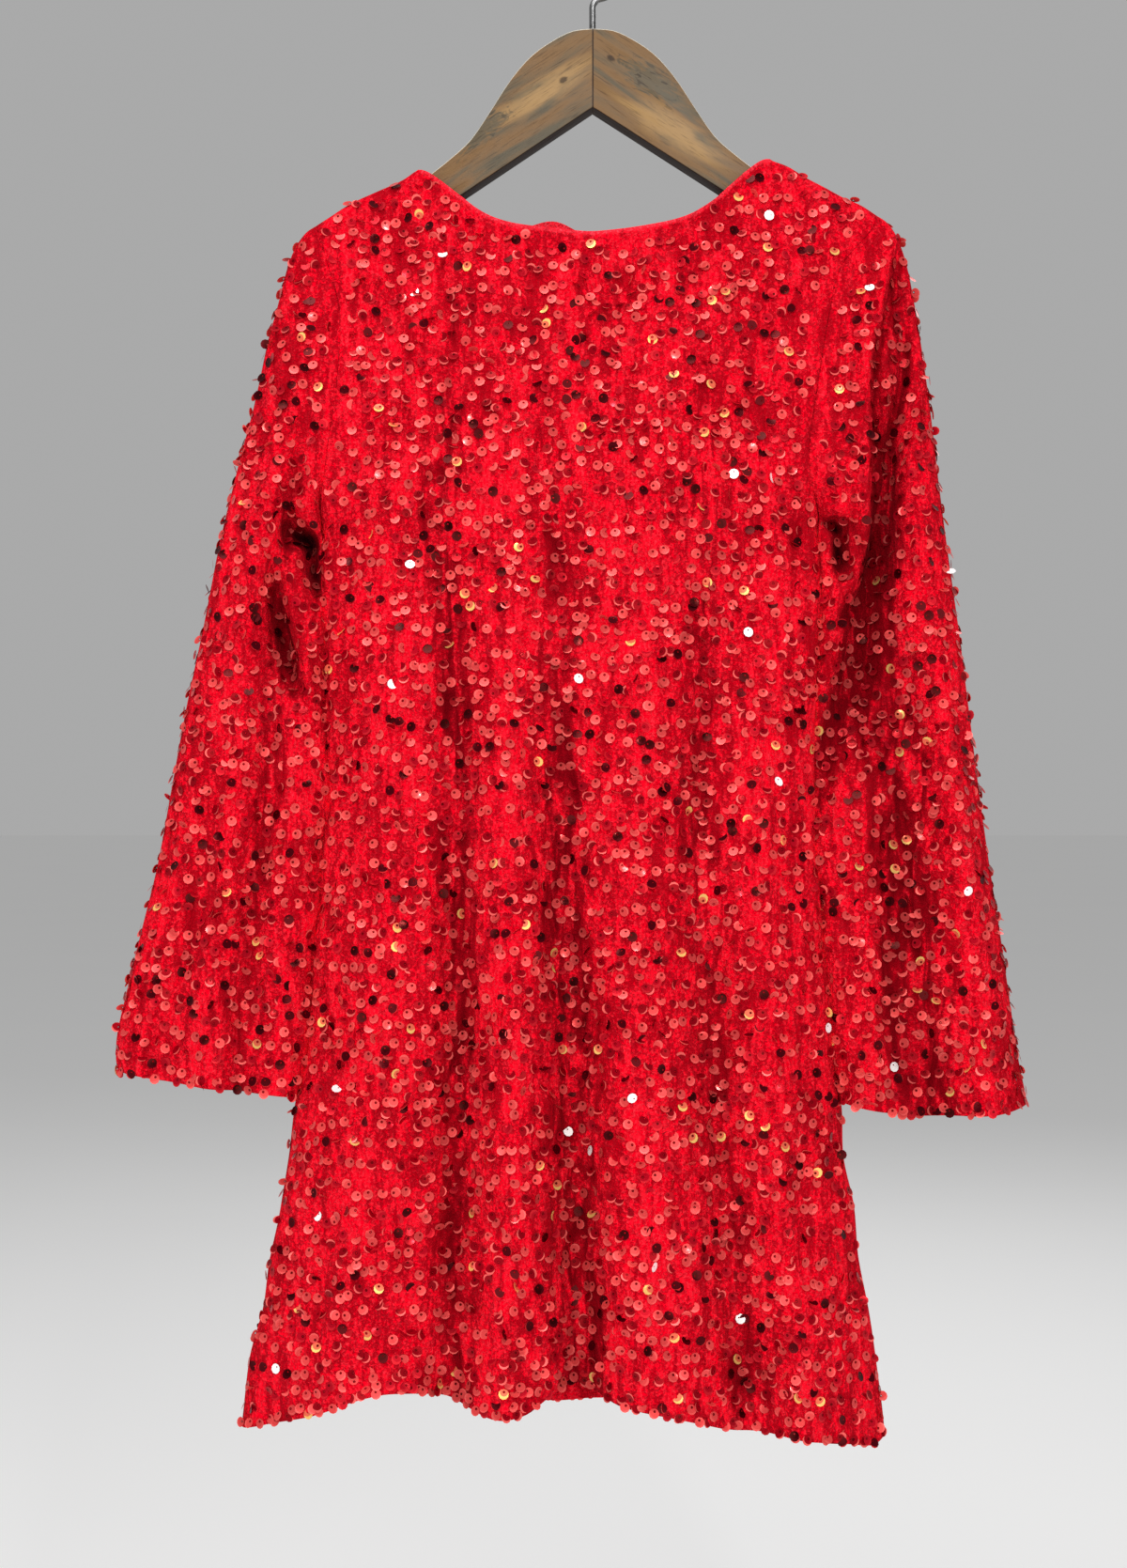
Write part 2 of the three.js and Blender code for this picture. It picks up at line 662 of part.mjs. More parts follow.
function toSolid(geometry) {
  const bare = geometry.clone();
  bare.deleteAttribute("normal");
  bare.deleteAttribute("uv");
  const merged = mergeVertices(bare, 1e-4);
  const vertProperties = new Float32Array(merged.attributes.position.array);
  const triVerts = new Uint32Array(merged.index.array);
  return new manifold.Manifold(new manifold.Mesh({ numProp: 3, vertProperties, triVerts }));
}

function fromSolid(solid) {
  const { vertProperties, triVerts } = solid.getMesh();
  return facingOut([...vertProperties], [...triVerts]);
}

// One half of the hanger: its outline given a thickness with rounded edges, and cut flat at
// the joint, where the rounding would otherwise leave a groove.
function buildHangerHalf(outward) {
  const spare = HANGER.edgeRound * 2;
  const outline = hangerOutline(outward).map(([out, z]) => new THREE.Vector2(outward * out, z));
  const apex = outline[outline.length - 1];
  const extended = [new THREE.Vector2(-outward * spare, outline[0].y), ...outline];
  extended.push(new THREE.Vector2(-outward * spare, apex.y));
  const straight = HANGER.thickness - 2 * HANGER.edgeRound;
  const bevel = { bevelThickness: HANGER.edgeRound, bevelSize: HANGER.edgeRound, bevelSegments: 3 };
  const options = { depth: straight, bevelEnabled: true, bevelOffset: -HANGER.edgeRound, ...bevel };
  const board = new THREE.ExtrudeGeometry(new THREE.Shape(extended), options);
  board.translate(0, 0, -straight / 2);
  board.rotateX(Math.PI / 2);
  const waste = new THREE.BoxGeometry(4 * spare, 4 * HANGER.thickness, 8 * HANGER.centreHeight);
  waste.translate(outward * (SEAM_GAP / 2 - 2 * spare), 0, apex.y);
  return fromSolid(toSolid(board).subtract(toSolid(waste)));
}

// ---------------------------------------------------------------- materials and scene

const velvet = () => new THREE.MeshStandardMaterial({ color: 0xd8102a, roughness: 0.8, metalness: 0 });
const wood = () => new THREE.MeshStandardMaterial({ color: 0x6f5c45, roughness: 0.6, metalness: 0 });
const steel = () => new THREE.MeshStandardMaterial({ color: 0x9a9c9e, roughness: 0.35, metalness: 1 });

function named(name, geometry, material) {
  const mesh = new THREE.Mesh(geometry, material);
  mesh.name = name;
  return mesh;
}

const dress = new THREE.Group();
for (const name of Object.keys(PANELS)) dress.add(named(name, buildPanel(name), velvet()));
for (const name of Object.keys(SLEEVES)) dress.add(named(name, buildSleeve(name), velvet()));

const hanger = new THREE.Group();
hanger.add(named("hanger_left", buildHangerHalf(-1), wood()));
hanger.add(named("hanger_right", buildHangerHalf(1), wood()));
hanger.add(named("hook", buildHook(), steel()));

const part = new THREE.Group();
part.add(dress, hanger);

export default part;
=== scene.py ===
"""A girl's sequin dress of crushed stretch velvet, hanging flat on a wooden clothes hanger.

Sizes in the tables are millimetres and become metres when a mesh is made. +Z is up, +X is to
the right of someone who faces the dress, and -Y points at them.
"""

import logging
import math
from collections.abc import Sequence
from dataclasses import dataclass
from enum import Enum

import bpy
import numpy as np
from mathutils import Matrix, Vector


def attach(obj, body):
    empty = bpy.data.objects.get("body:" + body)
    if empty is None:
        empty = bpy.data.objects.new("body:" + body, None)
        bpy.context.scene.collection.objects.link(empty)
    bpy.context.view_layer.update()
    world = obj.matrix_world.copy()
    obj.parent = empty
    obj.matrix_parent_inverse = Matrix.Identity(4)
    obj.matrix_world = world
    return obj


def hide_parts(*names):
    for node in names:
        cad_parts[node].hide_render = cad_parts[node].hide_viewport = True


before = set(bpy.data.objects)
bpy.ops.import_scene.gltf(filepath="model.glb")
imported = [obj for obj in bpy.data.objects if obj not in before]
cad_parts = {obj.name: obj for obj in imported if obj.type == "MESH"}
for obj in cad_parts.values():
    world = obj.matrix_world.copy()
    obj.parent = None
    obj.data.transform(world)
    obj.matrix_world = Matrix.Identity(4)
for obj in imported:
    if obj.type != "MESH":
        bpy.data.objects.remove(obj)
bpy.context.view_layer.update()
LOG = logging.getLogger("dress")

MM = 0.001
BODY = "root"

Array = np.ndarray
Triple = tuple[float, float, float]
Piece = bpy.types.Object
Finish = bpy.types.Material
Socket = bpy.types.NodeSocket

# ---------------------------------------------------------------- measuring along tables


@dataclass(frozen=True)
class Table:
    """Rows of sizes with named columns."""

    columns: tuple[str, ...]
    rows: tuple[tuple[float, ...], ...]

    def column(self, name: str) -> Array:
        """All the numbers of one column."""
        return np.array([row[self.columns.index(name)] for row in self.rows], float)

    def along(self, key: str, name: str, place: Array) -> Array:
        """Reads a column on a smooth curve through the rows.

        Args:
            key: The column that says where each row lies.
            name: The column to read.
            place: Where to read it.

        Returns:
            The values there, as many as there are places.
        """
        keys, values = self.column(key), self.column(name)
        if keys[0] > keys[-1]:
            keys, values = keys[::-1], values[::-1]
        last = len(keys) - 1
        place = np.clip(place, keys[0], keys[-1])
        i = np.clip(np.searchsorted(keys, place, side="right") - 1, 0, last - 1)
        before, after = np.maximum(i - 1, 0), np.minimum(i + 2, last)
        start_slope = (values[i + 1] - values[before]) / (keys[i + 1] - keys[before])
        end_slope = (values[after] - values[i]) / (keys[after] - keys[i])
        step = keys[i + 1] - keys[i]
        u = (place - keys[i]) / step
        level = values[i] + (values[i + 1] - values[i]) * u * u * (3 - 2 * u)
        return level + step * (start_slope * u * (1 - u) ** 2 - end_slope * u * u * (1 - u))


def ease(start: float, end: float, value: Array) -> Array:
    """Goes from 0 at start to 1 at end, softly at both ends."""
    share = np.clip((value - start) / (end - start), 0, 1)
    return share * share * (3 - 2 * share)


def bell(offset: Array, width: float) -> Array:
    """A soft hump: 1 in its middle and almost 0 at twice its width."""
    return np.exp(-((offset / width) ** 2))


def quarter_round(distance: Array, radius: float, power: float) -> Array:
    """0 at no distance and 1 at the radius and beyond; a higher power is squarer."""
    rest = 1 - np.clip(distance / radius, 0, 1)
    return (1 - rest**power) ** (1 / power)


# ---------------------------------------------------------------- sizes of the dress

# Seams. Below the armpit each sleeve's inner edge is tucked into the side of the body.
SEAM_GAP = 0.06
SLEEVE_TUCK = 2.5
ARMPIT_Z = -303
ARMPIT_ROUND = 55
SHOULDER_ROUND = 9
SHOULDER_POWER = 3

# How square the flattened tubes are, and how fast folds and creases die out at their edges.
TUBE_FULLNESS = 2.6
INNER_FULLNESS = 3.8
EDGE_FADE = 8

# The neck: how fast front and back part inside it, and the back's edge, which stands higher.
NECK_PARTING = 1.2
BACK_NECK_LIFT = 1.5
BACK_NECK_BUMP_X = -20
BACK_NECK_BUMP_WIDTH = 15
BACK_NECK_BUMP_RISE = 8

# Sections of a sleeve between which its cuff's bow begins and is full.
CUFF_BOW_SECTIONS = (12, 17)

# How the side seams wander, and between which heights above the armpit that begins.
SIDE_WANDER_SEED = 71
SIDE_WANDER_LENGTH = 26
SIDE_WANDER_REACH = 1.3
SIDE_WANDER_FADE = (60, -30)

# The body by height: its left and right edges, and the depths of its front, back and armholes.
BODY_SIZES = Table(
    ("z", "left", "right", "front", "back", "armhole"),
    (
        (-116, -140, 143, 9.4, 9.4, 9.4), (-150, -140, 143, 11, 10.5, 9.8),
        (-172, -134, 126, 13, 12.5, 11), (-196, -128, 119.5, 16, 15, 12.5),
        (-230, -129, 113.8, 19, 18, 14), (-269, -134.5, 109, 21.5, 20, 15),
        (-303, -138.5, 115.5, 23, 21.5, 15), (-346, -138.2, 117.6, 24, 22.5, 15),
        (-394, -137.8, 114.7, 25, 23.5, 15), (-437, -136, 113.3, 26, 24.5, 15),
        (-490, -140, 116.6, 27.5, 25.5, 15), (-560, -146, 122.4, 29.5, 27, 15),
        (-609, -153, 127.2, 31, 28, 15), (-671, -162.7, 135, 32.5, 29.5, 15),
        (-723, -174, 143.5, 33.5, 30.5, 15), (-770, -180, 149, 34, 31, 15),
    ),
)

LEFT_SHOULDER = Table(
    ("x", "z"),
    (
        (-140, -150), (-134, -146.4), (-123, -139.4), (-109.4, -133), (-97, -127.4),
        (-89.8, -122.4),
    ),
)

RIGHT_SHOULDER = Table(
    ("x", "z"),
    (
        (91.7, -117.4), (99.4, -120.4), (106.6, -125.2), (117, -131), (125.8, -136),
        (134.4, -139.8), (143, -145),
    ),
)

NECKLINE = Table(
    ("x", "z"),
    (
        (-89.8, -122.4), (-82.1, -125.6), (-67.2, -136.8), (-59, -143.3), (-49.9, -148.1),
        (-37, -151.5), (-6, -155), (5, -155), (27.4, -152), (46.6, -147.2), (59.5, -139.5),
        (67.2, -132.8), (76.3, -125.1), (85, -119), (91.7, -117.4),
    ),
)

# Hems, by the place across the body from -1 at its left side to 1 at its right.
FRONT_HEM = Table(
    ("across", "z"),
    (
        (-1, -761), (-0.9, -755), (-0.78, -749), (-0.62, -739), (-0.5, -736), (-0.38, -738.5),
        (-0.28, -744.5), (-0.19, -747), (-0.11, -745), (-0.04, -738.5), (0.05, -734.5),
        (0.17, -742), (0.3, -745), (0.42, -750.5), (0.55, -757), (0.72, -759), (0.87, -764),
        (0.95, -767), (1, -764.5),
    ),
)

BACK_HEM = Table(
    ("across", "z"),
    (
        (-1, -761), (-0.75, -752), (-0.5, -750), (-0.25, -755), (0, -760), (0.25, -757),
        (0.5, -761), (0.8, -765), (1, -764.5),
    ),
)

# Long folds: place across at the top and at the hem, how far the cloth stands out (a furrow is
# negative), half width, and the heights at which the fold begins and is full.
FOLD_COLUMNS = ("top", "hem", "rise", "width", "starts", "full")

FRONT_FOLDS = Table(
    FOLD_COLUMNS,
    (
        (-0.76, -0.68, 4, 0.17, -260, -560), (-0.51, -0.33, -11, 0.08, -290, -520),
        (-0.25, -0.17, 7, 0.09, -330, -600), (-0.08, 0.07, -15, 0.09, -290, -700),
        (0.22, 0.28, 5, 0.13, -330, -560), (0.49, 0.58, -9, 0.085, -270, -560),
        (0.75, 0.75, 6, 0.09, -330, -600),
    ),
)

BACK_FOLDS = Table(
    FOLD_COLUMNS,
    (
        (-0.72, -0.68, -8, 0.1, -300, -560), (-0.46, -0.45, 6, 0.12, -320, -600),
        (-0.2, -0.22, -10, 0.1, -280, -540), (0.06, 0.04, 6, 0.11, -340, -620),
        (0.3, 0.32, -11, 0.1, -290, -560), (0.58, 0.6, 7, 0.12, -330, -600),
    ),
)

# Creases: middle, half length, lean of the top to the right in degrees from upright, half width,
# and how far the cloth stands out (a furrow is negative).
CREASE_COLUMNS = ("x", "z", "length", "lean", "width", "rise")

FRONT_CREASES = Table(
    CREASE_COLUMNS,
    (
        (-112, -268, 26, 52, 5, -3.2), (-104, -290, 30, 40, 5, 2.2),
        (-118, -310, 26, 20, 5, -3), (-96, -330, 40, 12, 6, -2), (96, -262, 26, -50, 5, -3),
        (88, -284, 30, -36, 5, 2.2), (100, -306, 28, -18, 5, -2.8), (80, -340, 44, -8, 6, -1.8),
        (-60, -170, 16, -35, 4, 1.2), (-30, -176, 15, -12, 4, -1.2), (30, -174, 16, 14, 4, 1.2),
        (58, -166, 15, 36, 4, -1.2), (-116, -170, 20, 60, 4, -1.6),
        (112, -162, 20, -62, 4, -1.6), (-70, -440, 60, 3, 5, 1.5), (-26, -420, 70, -2, 5, -1.8),
        (52, -430, 60, 4, 5, -1.6), (88, -470, 70, -3, 5, 1.6), (-104, -520, 60, -4, 5, -1.6),
        (20, -560, 70, 3, 6, 1.8), (-90, -640, 50, 6, 6, -2), (104, -640, 60, -5, 6, -2.2),
        (48, -690, 40, 4, 6, 2), (-128, -700, 40, 8, 6, 2),
    ),
)

BACK_CREASES = Table(
    CREASE_COLUMNS,
    (
        (-112, -272, 26, 50, 5, -3), (-100, -294, 30, 36, 5, 2), (96, -270, 26, -48, 5, -3),
        (86, -296, 30, -34, 5, 2), (-70, -190, 24, -40, 5, 1.3), (66, -186, 24, 38, 5, 1.3),
        (0, -200, 40, 4, 6, -1.6), (-40, -430, 60, 3, 6, 1.6), (30, -450, 70, -3, 6, -1.8),
        (84, -520, 60, -4, 6, -1.6), (-96, -560, 60, 5, 6, 1.8), (10, -650, 60, 2, 6, 2),
        (-120, -690, 40, 8, 6, -2), (110, -700, 46, -6, 6, 2),
    ),
)

# Sleeves by section: the inner edge, the outer edge, the depth, and how far the middle of the
# sleeve lies behind the side seams.
SLEEVE_COLUMNS = ("section", "inner_z", "outer_x", "outer_z", "depth", "back")

LEFT_SLEEVE = Table(
    SLEEVE_COLUMNS,
    (
        (0, -303, -140.3, -150, 14, 0), (1, -303.3, -146.3, -154, 15, 0),
        (2, -304, -151.6, -161.5, 16, 0), (3, -305.5, -155.8, -172, 17, 0.5),
        (4, -308, -160.5, -190, 17.5, 1), (5, -312, -166, -210, 18, 1.5),
        (6, -319, -172.5, -240, 18, 2), (7, -330, -181, -272, 18, 2.5),
        (8, -346, -190.5, -311, 18, 3), (9, -368, -199, -354, 18, 3.5),
        (10, -398, -208, -396, 18.5, 4), (11, -437, -215.5, -437, 19, 4),
        (12, -475, -222.7, -476, 19.5, 4), (13, -512, -231, -510, 20.5, 4),
        (14, -545, -238.5, -541, 21.5, 4), (15, -568, -243, -561, 22, 4),
        (16, -586, -243.8, -574, 22.5, 4), (17, -593, -242.6, -580, 22.5, 4),
    ),
)

RIGHT_SLEEVE = Table(
    SLEEVE_COLUMNS,
    (
        (0, -303, 143.3, -145, 14, 0), (1, -303.3, 149.2, -149, 15, 0),
        (2, -304, 154.8, -157, 16, 0), (3, -305.5, 160, -171, 17, 0.5),
        (4, -308, 164.3, -191, 17.5, 1), (5, -312, 168.3, -215, 18, 1.5),
        (6, -318, 172.3, -243, 18, 2), (7, -328, 176.6, -279, 18, 2.5),
        (8, -343, 181.8, -318, 18, 3), (9, -367, 187.3, -356, 18, 3.5),
        (10, -400, 192.6, -397, 18.5, 4), (11, -437, 197.6, -437, 19, 4),
        (12, -475, 202.9, -475, 20, 4), (13, -512, 208.6, -512, 21, 4),
        (14, -545, 213.6, -547, 22, 4), (15, -570, 217.6, -574, 22.5, 4),
        (16, -588, 220.8, -590, 23, 4), (17, -595, 222, -597, 23, 4),
    ),
)

# Long folds of a sleeve: as those of the body, with places from its outer edge, 0, to its inner
# edge, 1, and with sections in place of heights.
SLEEVE_FOLD_COLUMNS = ("top", "cuff", "rise", "width", "starts", "full")

LEFT_SLEEVE_FRONT_FOLDS = Table(
    SLEEVE_FOLD_COLUMNS,
    ((0.52, 0.68, -4.5, 0.09, 1, 6), (0.2, 0.36, -3, 0.09, 8, 14), (0.3, 0.5, 4, 0.12, 3, 10)),
)
LEFT_SLEEVE_BACK_FOLDS = Table(
    SLEEVE_FOLD_COLUMNS, ((0.45, 0.5, -8, 0.12, 3, 9), (0.25, 0.24, 5, 0.12, 6, 14))
)
RIGHT_SLEEVE_FRONT_FOLDS = Table(
    SLEEVE_FOLD_COLUMNS,
    (
        (-0.38, 1.72, -10, 0.12, 2, 5), (0.62, 0.5, -8, 0.22, 7, 12),
        (0.12, 0.2, 5, 0.12, 6, 12),
    ),
)
RIGHT_SLEEVE_BACK_FOLDS = Table(
    SLEEVE_FOLD_COLUMNS, ((0.5, 0.5, -9, 0.12, 3, 9), (0.28, 0.3, 4, 0.12, 6, 14))
)

LEFT_SLEEVE_CREASES = Table(
    CREASE_COLUMNS,
    (
        (-160, -250, 24, 30, 5, -2.6), (-168, -300, 34, 24, 5, 1.8),
        (-160, -330, 30, 12, 5, -2.6), (-176, -380, 50, 14, 5, -1.8),
        (-196, -430, 50, 12, 5, 1.6), (-168, -470, 60, 6, 5, -1.8),
        (-206, -520, 50, 12, 5, -1.8), (-184, -560, 40, 6, 5, 1.8),
        (-152, -200, 22, 40, 4, -1.6), (-149, -294, 9, 80, 4, 3.5),
        (-157, -322, 22, -8, 3.5, 3.5), (-155, -368, 26, -10, 5, -12),
        (-146, -372, 34, -14, 3, 3),
    ),
)

RIGHT_SLEEVE_CREASES = Table(
    CREASE_COLUMNS,
    (
        (146, -200, 34, -3, 3.5, 2.2), (140, -250, 26, -20, 5, -2.4),
        (132, -300, 30, -10, 4, -2.6), (160, -300, 50, -6, 5, -1.8),
        (180, -380, 60, -8, 5, -1.8), (136, -420, 60, -4, 5, 1.6), (190, -470, 60, -8, 5, 1.8),
        (150, -520, 60, -4, 5, -1.8), (200, -550, 40, -8, 5, -1.8),
        (150, -172, 18, -50, 4, -1.5), (150, -190, 36, 12, 2.6, -7),
        (154.5, -192, 34, 11, 4, -5), (143, -264, 48, 0, 2.6, -7), (149, -268, 50, -1, 5.5, -6),
        (141, -321, 15, 12, 2.6, -7), (149, -325, 26, -4, 8, -6), (131, -345, 14, 42, 3, -8),
        (136, -382, 34, 4, 9, -9), (160, -392, 44, -14, 9, -5), (137.5, -255, 60, 0, 3, 3),
        (146, -188, 30, 12, 2.5, 2.5), (127, -337, 14, 42, 2.5, 3), (124, -297, 8, 70, 4, 3),
    ),
)

# Hollows under the arms, in the same columns as creases; the velvet in them also gets near-black
# painted shade.
LEFT_HOLLOWS = Table(
    CREASE_COLUMNS, ((-147, -310, 10, -60, 5.5, -15), (-141, -328, 15, -10, 4.5, -15))
)
RIGHT_HOLLOWS = Table(
    CREASE_COLUMNS, ((121, -303, 7, -66, 4, -13), (125, -318, 13, -5, 4.5, -15))
)


class Side(Enum):
    """Which way a piece of the body faces: the sign of its Y."""

    FRONT = -1
    BACK = 1


class Arm(Enum):
    """Which arm a sleeve is for: the sign of its X."""

    LEFT = -1
    RIGHT = 1


# ---------------------------------------------------------------- shaping cloth


@dataclass(frozen=True)
class Crumple:
    """Soft, seeded unevenness of hanging cloth, longer down it than across it."""

    seed: int
    across: float
    down: float
    height: float

    def at(self, x: Array, z: Array) -> Array:
        """How far the cloth stands out at each place, in millimetres."""
        size = 64
        lattice = np.random.default_rng(self.seed).uniform(-1, 1, (size, size))
        px, pz = x / self.across + size, z / self.down + size
        i, j = np.floor(px).astype(int), np.floor(pz).astype(int)
        u, v = px - i, pz - j
        u, v = u * u * (3 - 2 * u), v * v * (3 - 2 * v)
        low = lattice[i % size, j % size] * (1 - u) + lattice[(i + 1) % size, j % size] * u
        high = lattice[i % size, (j + 1) % size] * (1 - u)
        high = high + lattice[(i + 1) % size, (j + 1) % size] * u
        return self.height * (low * (1 - v) + high * v)


def crumples(seed: int, sizes: tuple[Triple, Triple]) -> tuple[Crumple, Crumple]:
    """The broad and the small crumple of one piece."""
    broad, small = sizes
    return Crumple(seed, *broad), Crumple(seed + 1, *small)


@dataclass(frozen=True)
class Roll:
    """A turned and stitched edge, which stands a little proud."""

    rise: float
    inset: float
    width: float

    def at(self, distance: Array) -> Array:
        """Its rise at a distance from the edge."""
        return self.rise * bell(distance - self.inset, self.width)


NECK_ROLL = Roll(0.7, 2.6, 2.2)
NECK_ROLL_FADE = 12
HEM_ROLL = Roll(0.6, 4, 3.4)
CUFF_ROLL = Roll(0.6, 0.35, 0.3)

# How strong the painted sheen along the neck edge is, over which width, and how far inside the
# neck's ends that begins.
NECK_SHEEN = 1.2
NECK_SHEEN_WIDTH = {Side.FRONT: 3, Side.BACK: 9}
NECK_SHEEN_FADE = 3


def crease_rise(creases: Table, x: Array, z: Array) -> Array:
    """How far the listed creases lift the cloth.

    Args:
        creases: The creases, one a row.
        x: Places across the dress.
        z: Heights of those places.

    Returns:
        The lift at each place, in millimetres.
    """
    total = np.zeros_like(x)
    for middle_x, middle_z, length, lean, width, rise in creases.rows:
        turn = math.radians(lean)
        run = (x - middle_x) * math.sin(turn) + (z - middle_z) * math.cos(turn)
        off = (x - middle_x) * math.cos(turn) - (z - middle_z) * math.sin(turn)
        total += rise * bell(run, length) * bell(off, width)
    return total


# Depth of a furrow whose cloth gets full painted shade, how far above its relief a fold's painted
# shade shows, and the darkest painted shade that folds and creases give, as shares of a full
# furrow.
BODY_FURROW = 15
SLEEVE_FURROW = 10
FOLDS_SHOW_ABOVE = 170
FOLD_SHADE = 0.75
SLEEVE_SHADE = 1.1

# Length across, length down and height of the broad and the small crumple, and how far a
# sleeve's broad crumple is moved, up in its front and down in its back.
BODY_CRUMPLES = ((17, 95, 1.5), (8, 38, 0.6))
SLEEVE_CRUMPLES = ((15, 80, 1.4), (8, 34, 0.6))
SLEEVE_CRUMPLE_SHIFT = 7

# Where creases and crumple begin and are full: below the top edge, and in a sleeve's sections.
BODY_SETTLES = (2, 26)
SLEEVE_SETTLES = (0, 2)

SHOULDER_MIDDLE = (BODY_SIZES.rows[0][1] + BODY_SIZES.rows[0][2]) / 2
SHOULDER_HALF = (BODY_SIZES.rows[0][2] - BODY_SIZES.rows[0][1]) / 2
NECK_LEFT = (NECKLINE.rows[0][0] - SHOULDER_MIDDLE) / SHOULDER_HALF
NECK_RIGHT = (NECKLINE.rows[-1][0] - SHOULDER_MIDDLE) / SHOULDER_HALF


def inside_neck(across: Array) -> Array:
    """How far inside the neck opening a place across the body lies."""
    return SHOULDER_HALF * np.maximum(0, np.minimum(across - NECK_LEFT, NECK_RIGHT - across))


def top_edge(side: Side, across: Array) -> Array:
    """Height of a body piece's top edge: shoulder seams with the neckline between."""
    x = SHOULDER_MIDDLE + SHOULDER_HALF * across
    lift = np.zeros_like(x)
    if side is Side.BACK:
        bump = BACK_NECK_BUMP_RISE * bell(x - BACK_NECK_BUMP_X, BACK_NECK_BUMP_WIDTH)
        lift = ease(0, BACK_NECK_BUMP_WIDTH, inside_neck(across)) * (BACK_NECK_LIFT + bump)
    neck = NECKLINE.along("x", "z", x) + lift
    left = LEFT_SHOULDER.along("x", "z", x)
    right = RIGHT_SHOULDER.along("x", "z", x)
    return np.where(across <= NECK_LEFT, left, np.where(across >= NECK_RIGHT, right, neck))


def side_edge(arm: Arm, z: Array) -> Array:
    """Where one side of the body lies at a height: its side seam wanders a little."""
    wander = Crumple(SIDE_WANDER_SEED + arm.value, SIDE_WANDER_LENGTH, 1, SIDE_WANDER_REACH)
    starts, full = (ARMPIT_Z + above for above in SIDE_WANDER_FADE)
    seam = BODY_SIZES.along("z", arm.name.lower(), z)
    return seam + wander.at(z, np.zeros_like(z)) * ease(starts, full, z)


def armhole_depth(z: Array, under: Array) -> Array:
    """Half the armhole's opening at a height, `under` below the shoulder seam."""
    closing = quarter_round(z - ARMPIT_Z, ARMPIT_ROUND, 2)
    opened = BODY_SIZES.along("z", "armhole", z) * closing
    return opened * quarter_round(under, SHOULDER_ROUND, SHOULDER_POWER)


def fold_rise(folds: Table, across: Array, share: Array, run: Array) -> Array:
    """How far the long folds lift the cloth.

    Args:
        folds: The folds, one a row.
        across: Places across the piece.
        share: How far down each fold's line a place is, from 0 to 1.
        run: What the folds' starts are measured in.

    Returns:
        The lift at each place, in millimetres.
    """
    total = np.zeros_like(across)
    for top, end, rise, width, starts, full in folds.rows:
        place = top + (end - top) * share
        total += rise * bell(across - place, width) * ease(starts, full, run)
    return total


def shaded(lift: Array, depth: float) -> Array:
    """How much painted shade the cloth gets: 1 in a furrow of this depth, up to 2 in a hollow,
    and -1 on a ridge, where it is a painted highlight.
    """
    return np.clip(-lift / depth, -1, 2)


def edge_crowded(count: int, crowding: float = 0.12) -> Array:
    """Places from -1 to 1 that lie closer together towards both ends."""
    even = np.linspace(-1, 1, count)
    inward = 1 - np.abs(even)
    return np.sign(even) * (1 - inward**2 * (1 + crowding) / (inward + crowding))


def tube_lens(across: Array, fullness: float = TUBE_FULLNESS) -> Array:
    """Depth of a flattened tube, from 0 at its edges to 1 in its middle."""
    return np.maximum(0, 1 - np.abs(across) ** fullness) ** (1 / fullness)


@dataclass
class Cloth:
    """One piece of cloth as a grid of points on its outer face.

    The first index runs down the piece and the second across or around it.
    """

    points: Array
    outward: Array
    furrow: Array
    looped: bool = False

    def wall(self, name: str, thickness: float) -> Piece:
        """A closed shell of the cloth.

        Args:
            name: The name of the object.
            thickness: How thick the cloth is, in millimetres.

        Returns:
            The new object, smooth shaded, with its painted shade as an attribute.
        """
        rows, columns = self.points.shape[:2]
        inner = self.points - self.outward * thickness
        if not self.looped:
            for column, turn in ((0, 1), (columns - 1, -1)):
                inner[:, column] = self.points[:, column] + np.array([turn * thickness, 0, 0])
        inner_start = rows * columns
        verts = np.concatenate([self.points.reshape(-1, 3), inner.reshape(-1, 3)]) * MM
        index = np.arange(inner_start).reshape(rows, columns)
        if self.looped:
            index = np.concatenate([index, index[:, :1]], axis=1)
        a, b, c, d = index[:-1, :-1], index[1:, :-1], index[1:, 1:], index[:-1, 1:]
        outer_faces = np.stack([a, b, c, d], axis=-1).reshape(-1, 4)
        inner_faces = outer_faces[:, ::-1] + inner_start
        rims = [(index[0, :-1], index[0, 1:]), (index[-1, 1:], index[-1, :-1])]
        if not self.looped:
            rims += [(index[1:, 0], index[:-1, 0]), (index[:-1, -1], index[1:, -1])]
        rim_faces = [
            np.stack([one, two, two + inner_start, one + inner_start], axis=-1)
            for one, two in rims
        ]
        faces = np.concatenate([outer_faces, inner_faces, *rim_faces])
        piece = new_mesh(name, verts, faces)
        mark(piece, "furrow", "FLOAT", np.tile(self.furrow.reshape(-1), 2))
        return piece

    def furrow_at(self, row: Array, column: Array) -> Array:
        """The painted shade at the nearest points of the grid."""
        rows, columns = self.furrow.shape
        i = np.clip(np.rint(row).astype(int), 0, rows - 1)
        return self.furrow[i, np.rint(column).astype(int) % columns]

    def at(self, row: Array, column: Array) -> tuple[Array, Array]:
        """Points and outward directions between the grid's own.

        Args:
            row: Places down the grid, which need not be whole numbers.
            column: Places across it.

        Returns:
            The points in millimetres, and unit outward directions.
        """
        rows, columns = self.points.shape[:2]
        i = np.clip(np.floor(row).astype(int), 0, rows - 2)
        last = columns - 1 if self.looped else columns - 2
        j = np.clip(np.floor(column).astype(int), 0, last)
        after = (j + 1) % columns
        u, v = (row - i)[:, None], (column - j)[:, None]
        found = []
        for grid in (self.points, self.outward):
            top = grid[i, j] * (1 - v) + grid[i, after] * v
            low = grid[i + 1, j] * (1 - v) + grid[i + 1, after] * v
            found.append(top * (1 - u) + low * u)
        outward = found[1] / np.linalg.norm(found[1], axis=1, keepdims=True)
        return found[0], outward


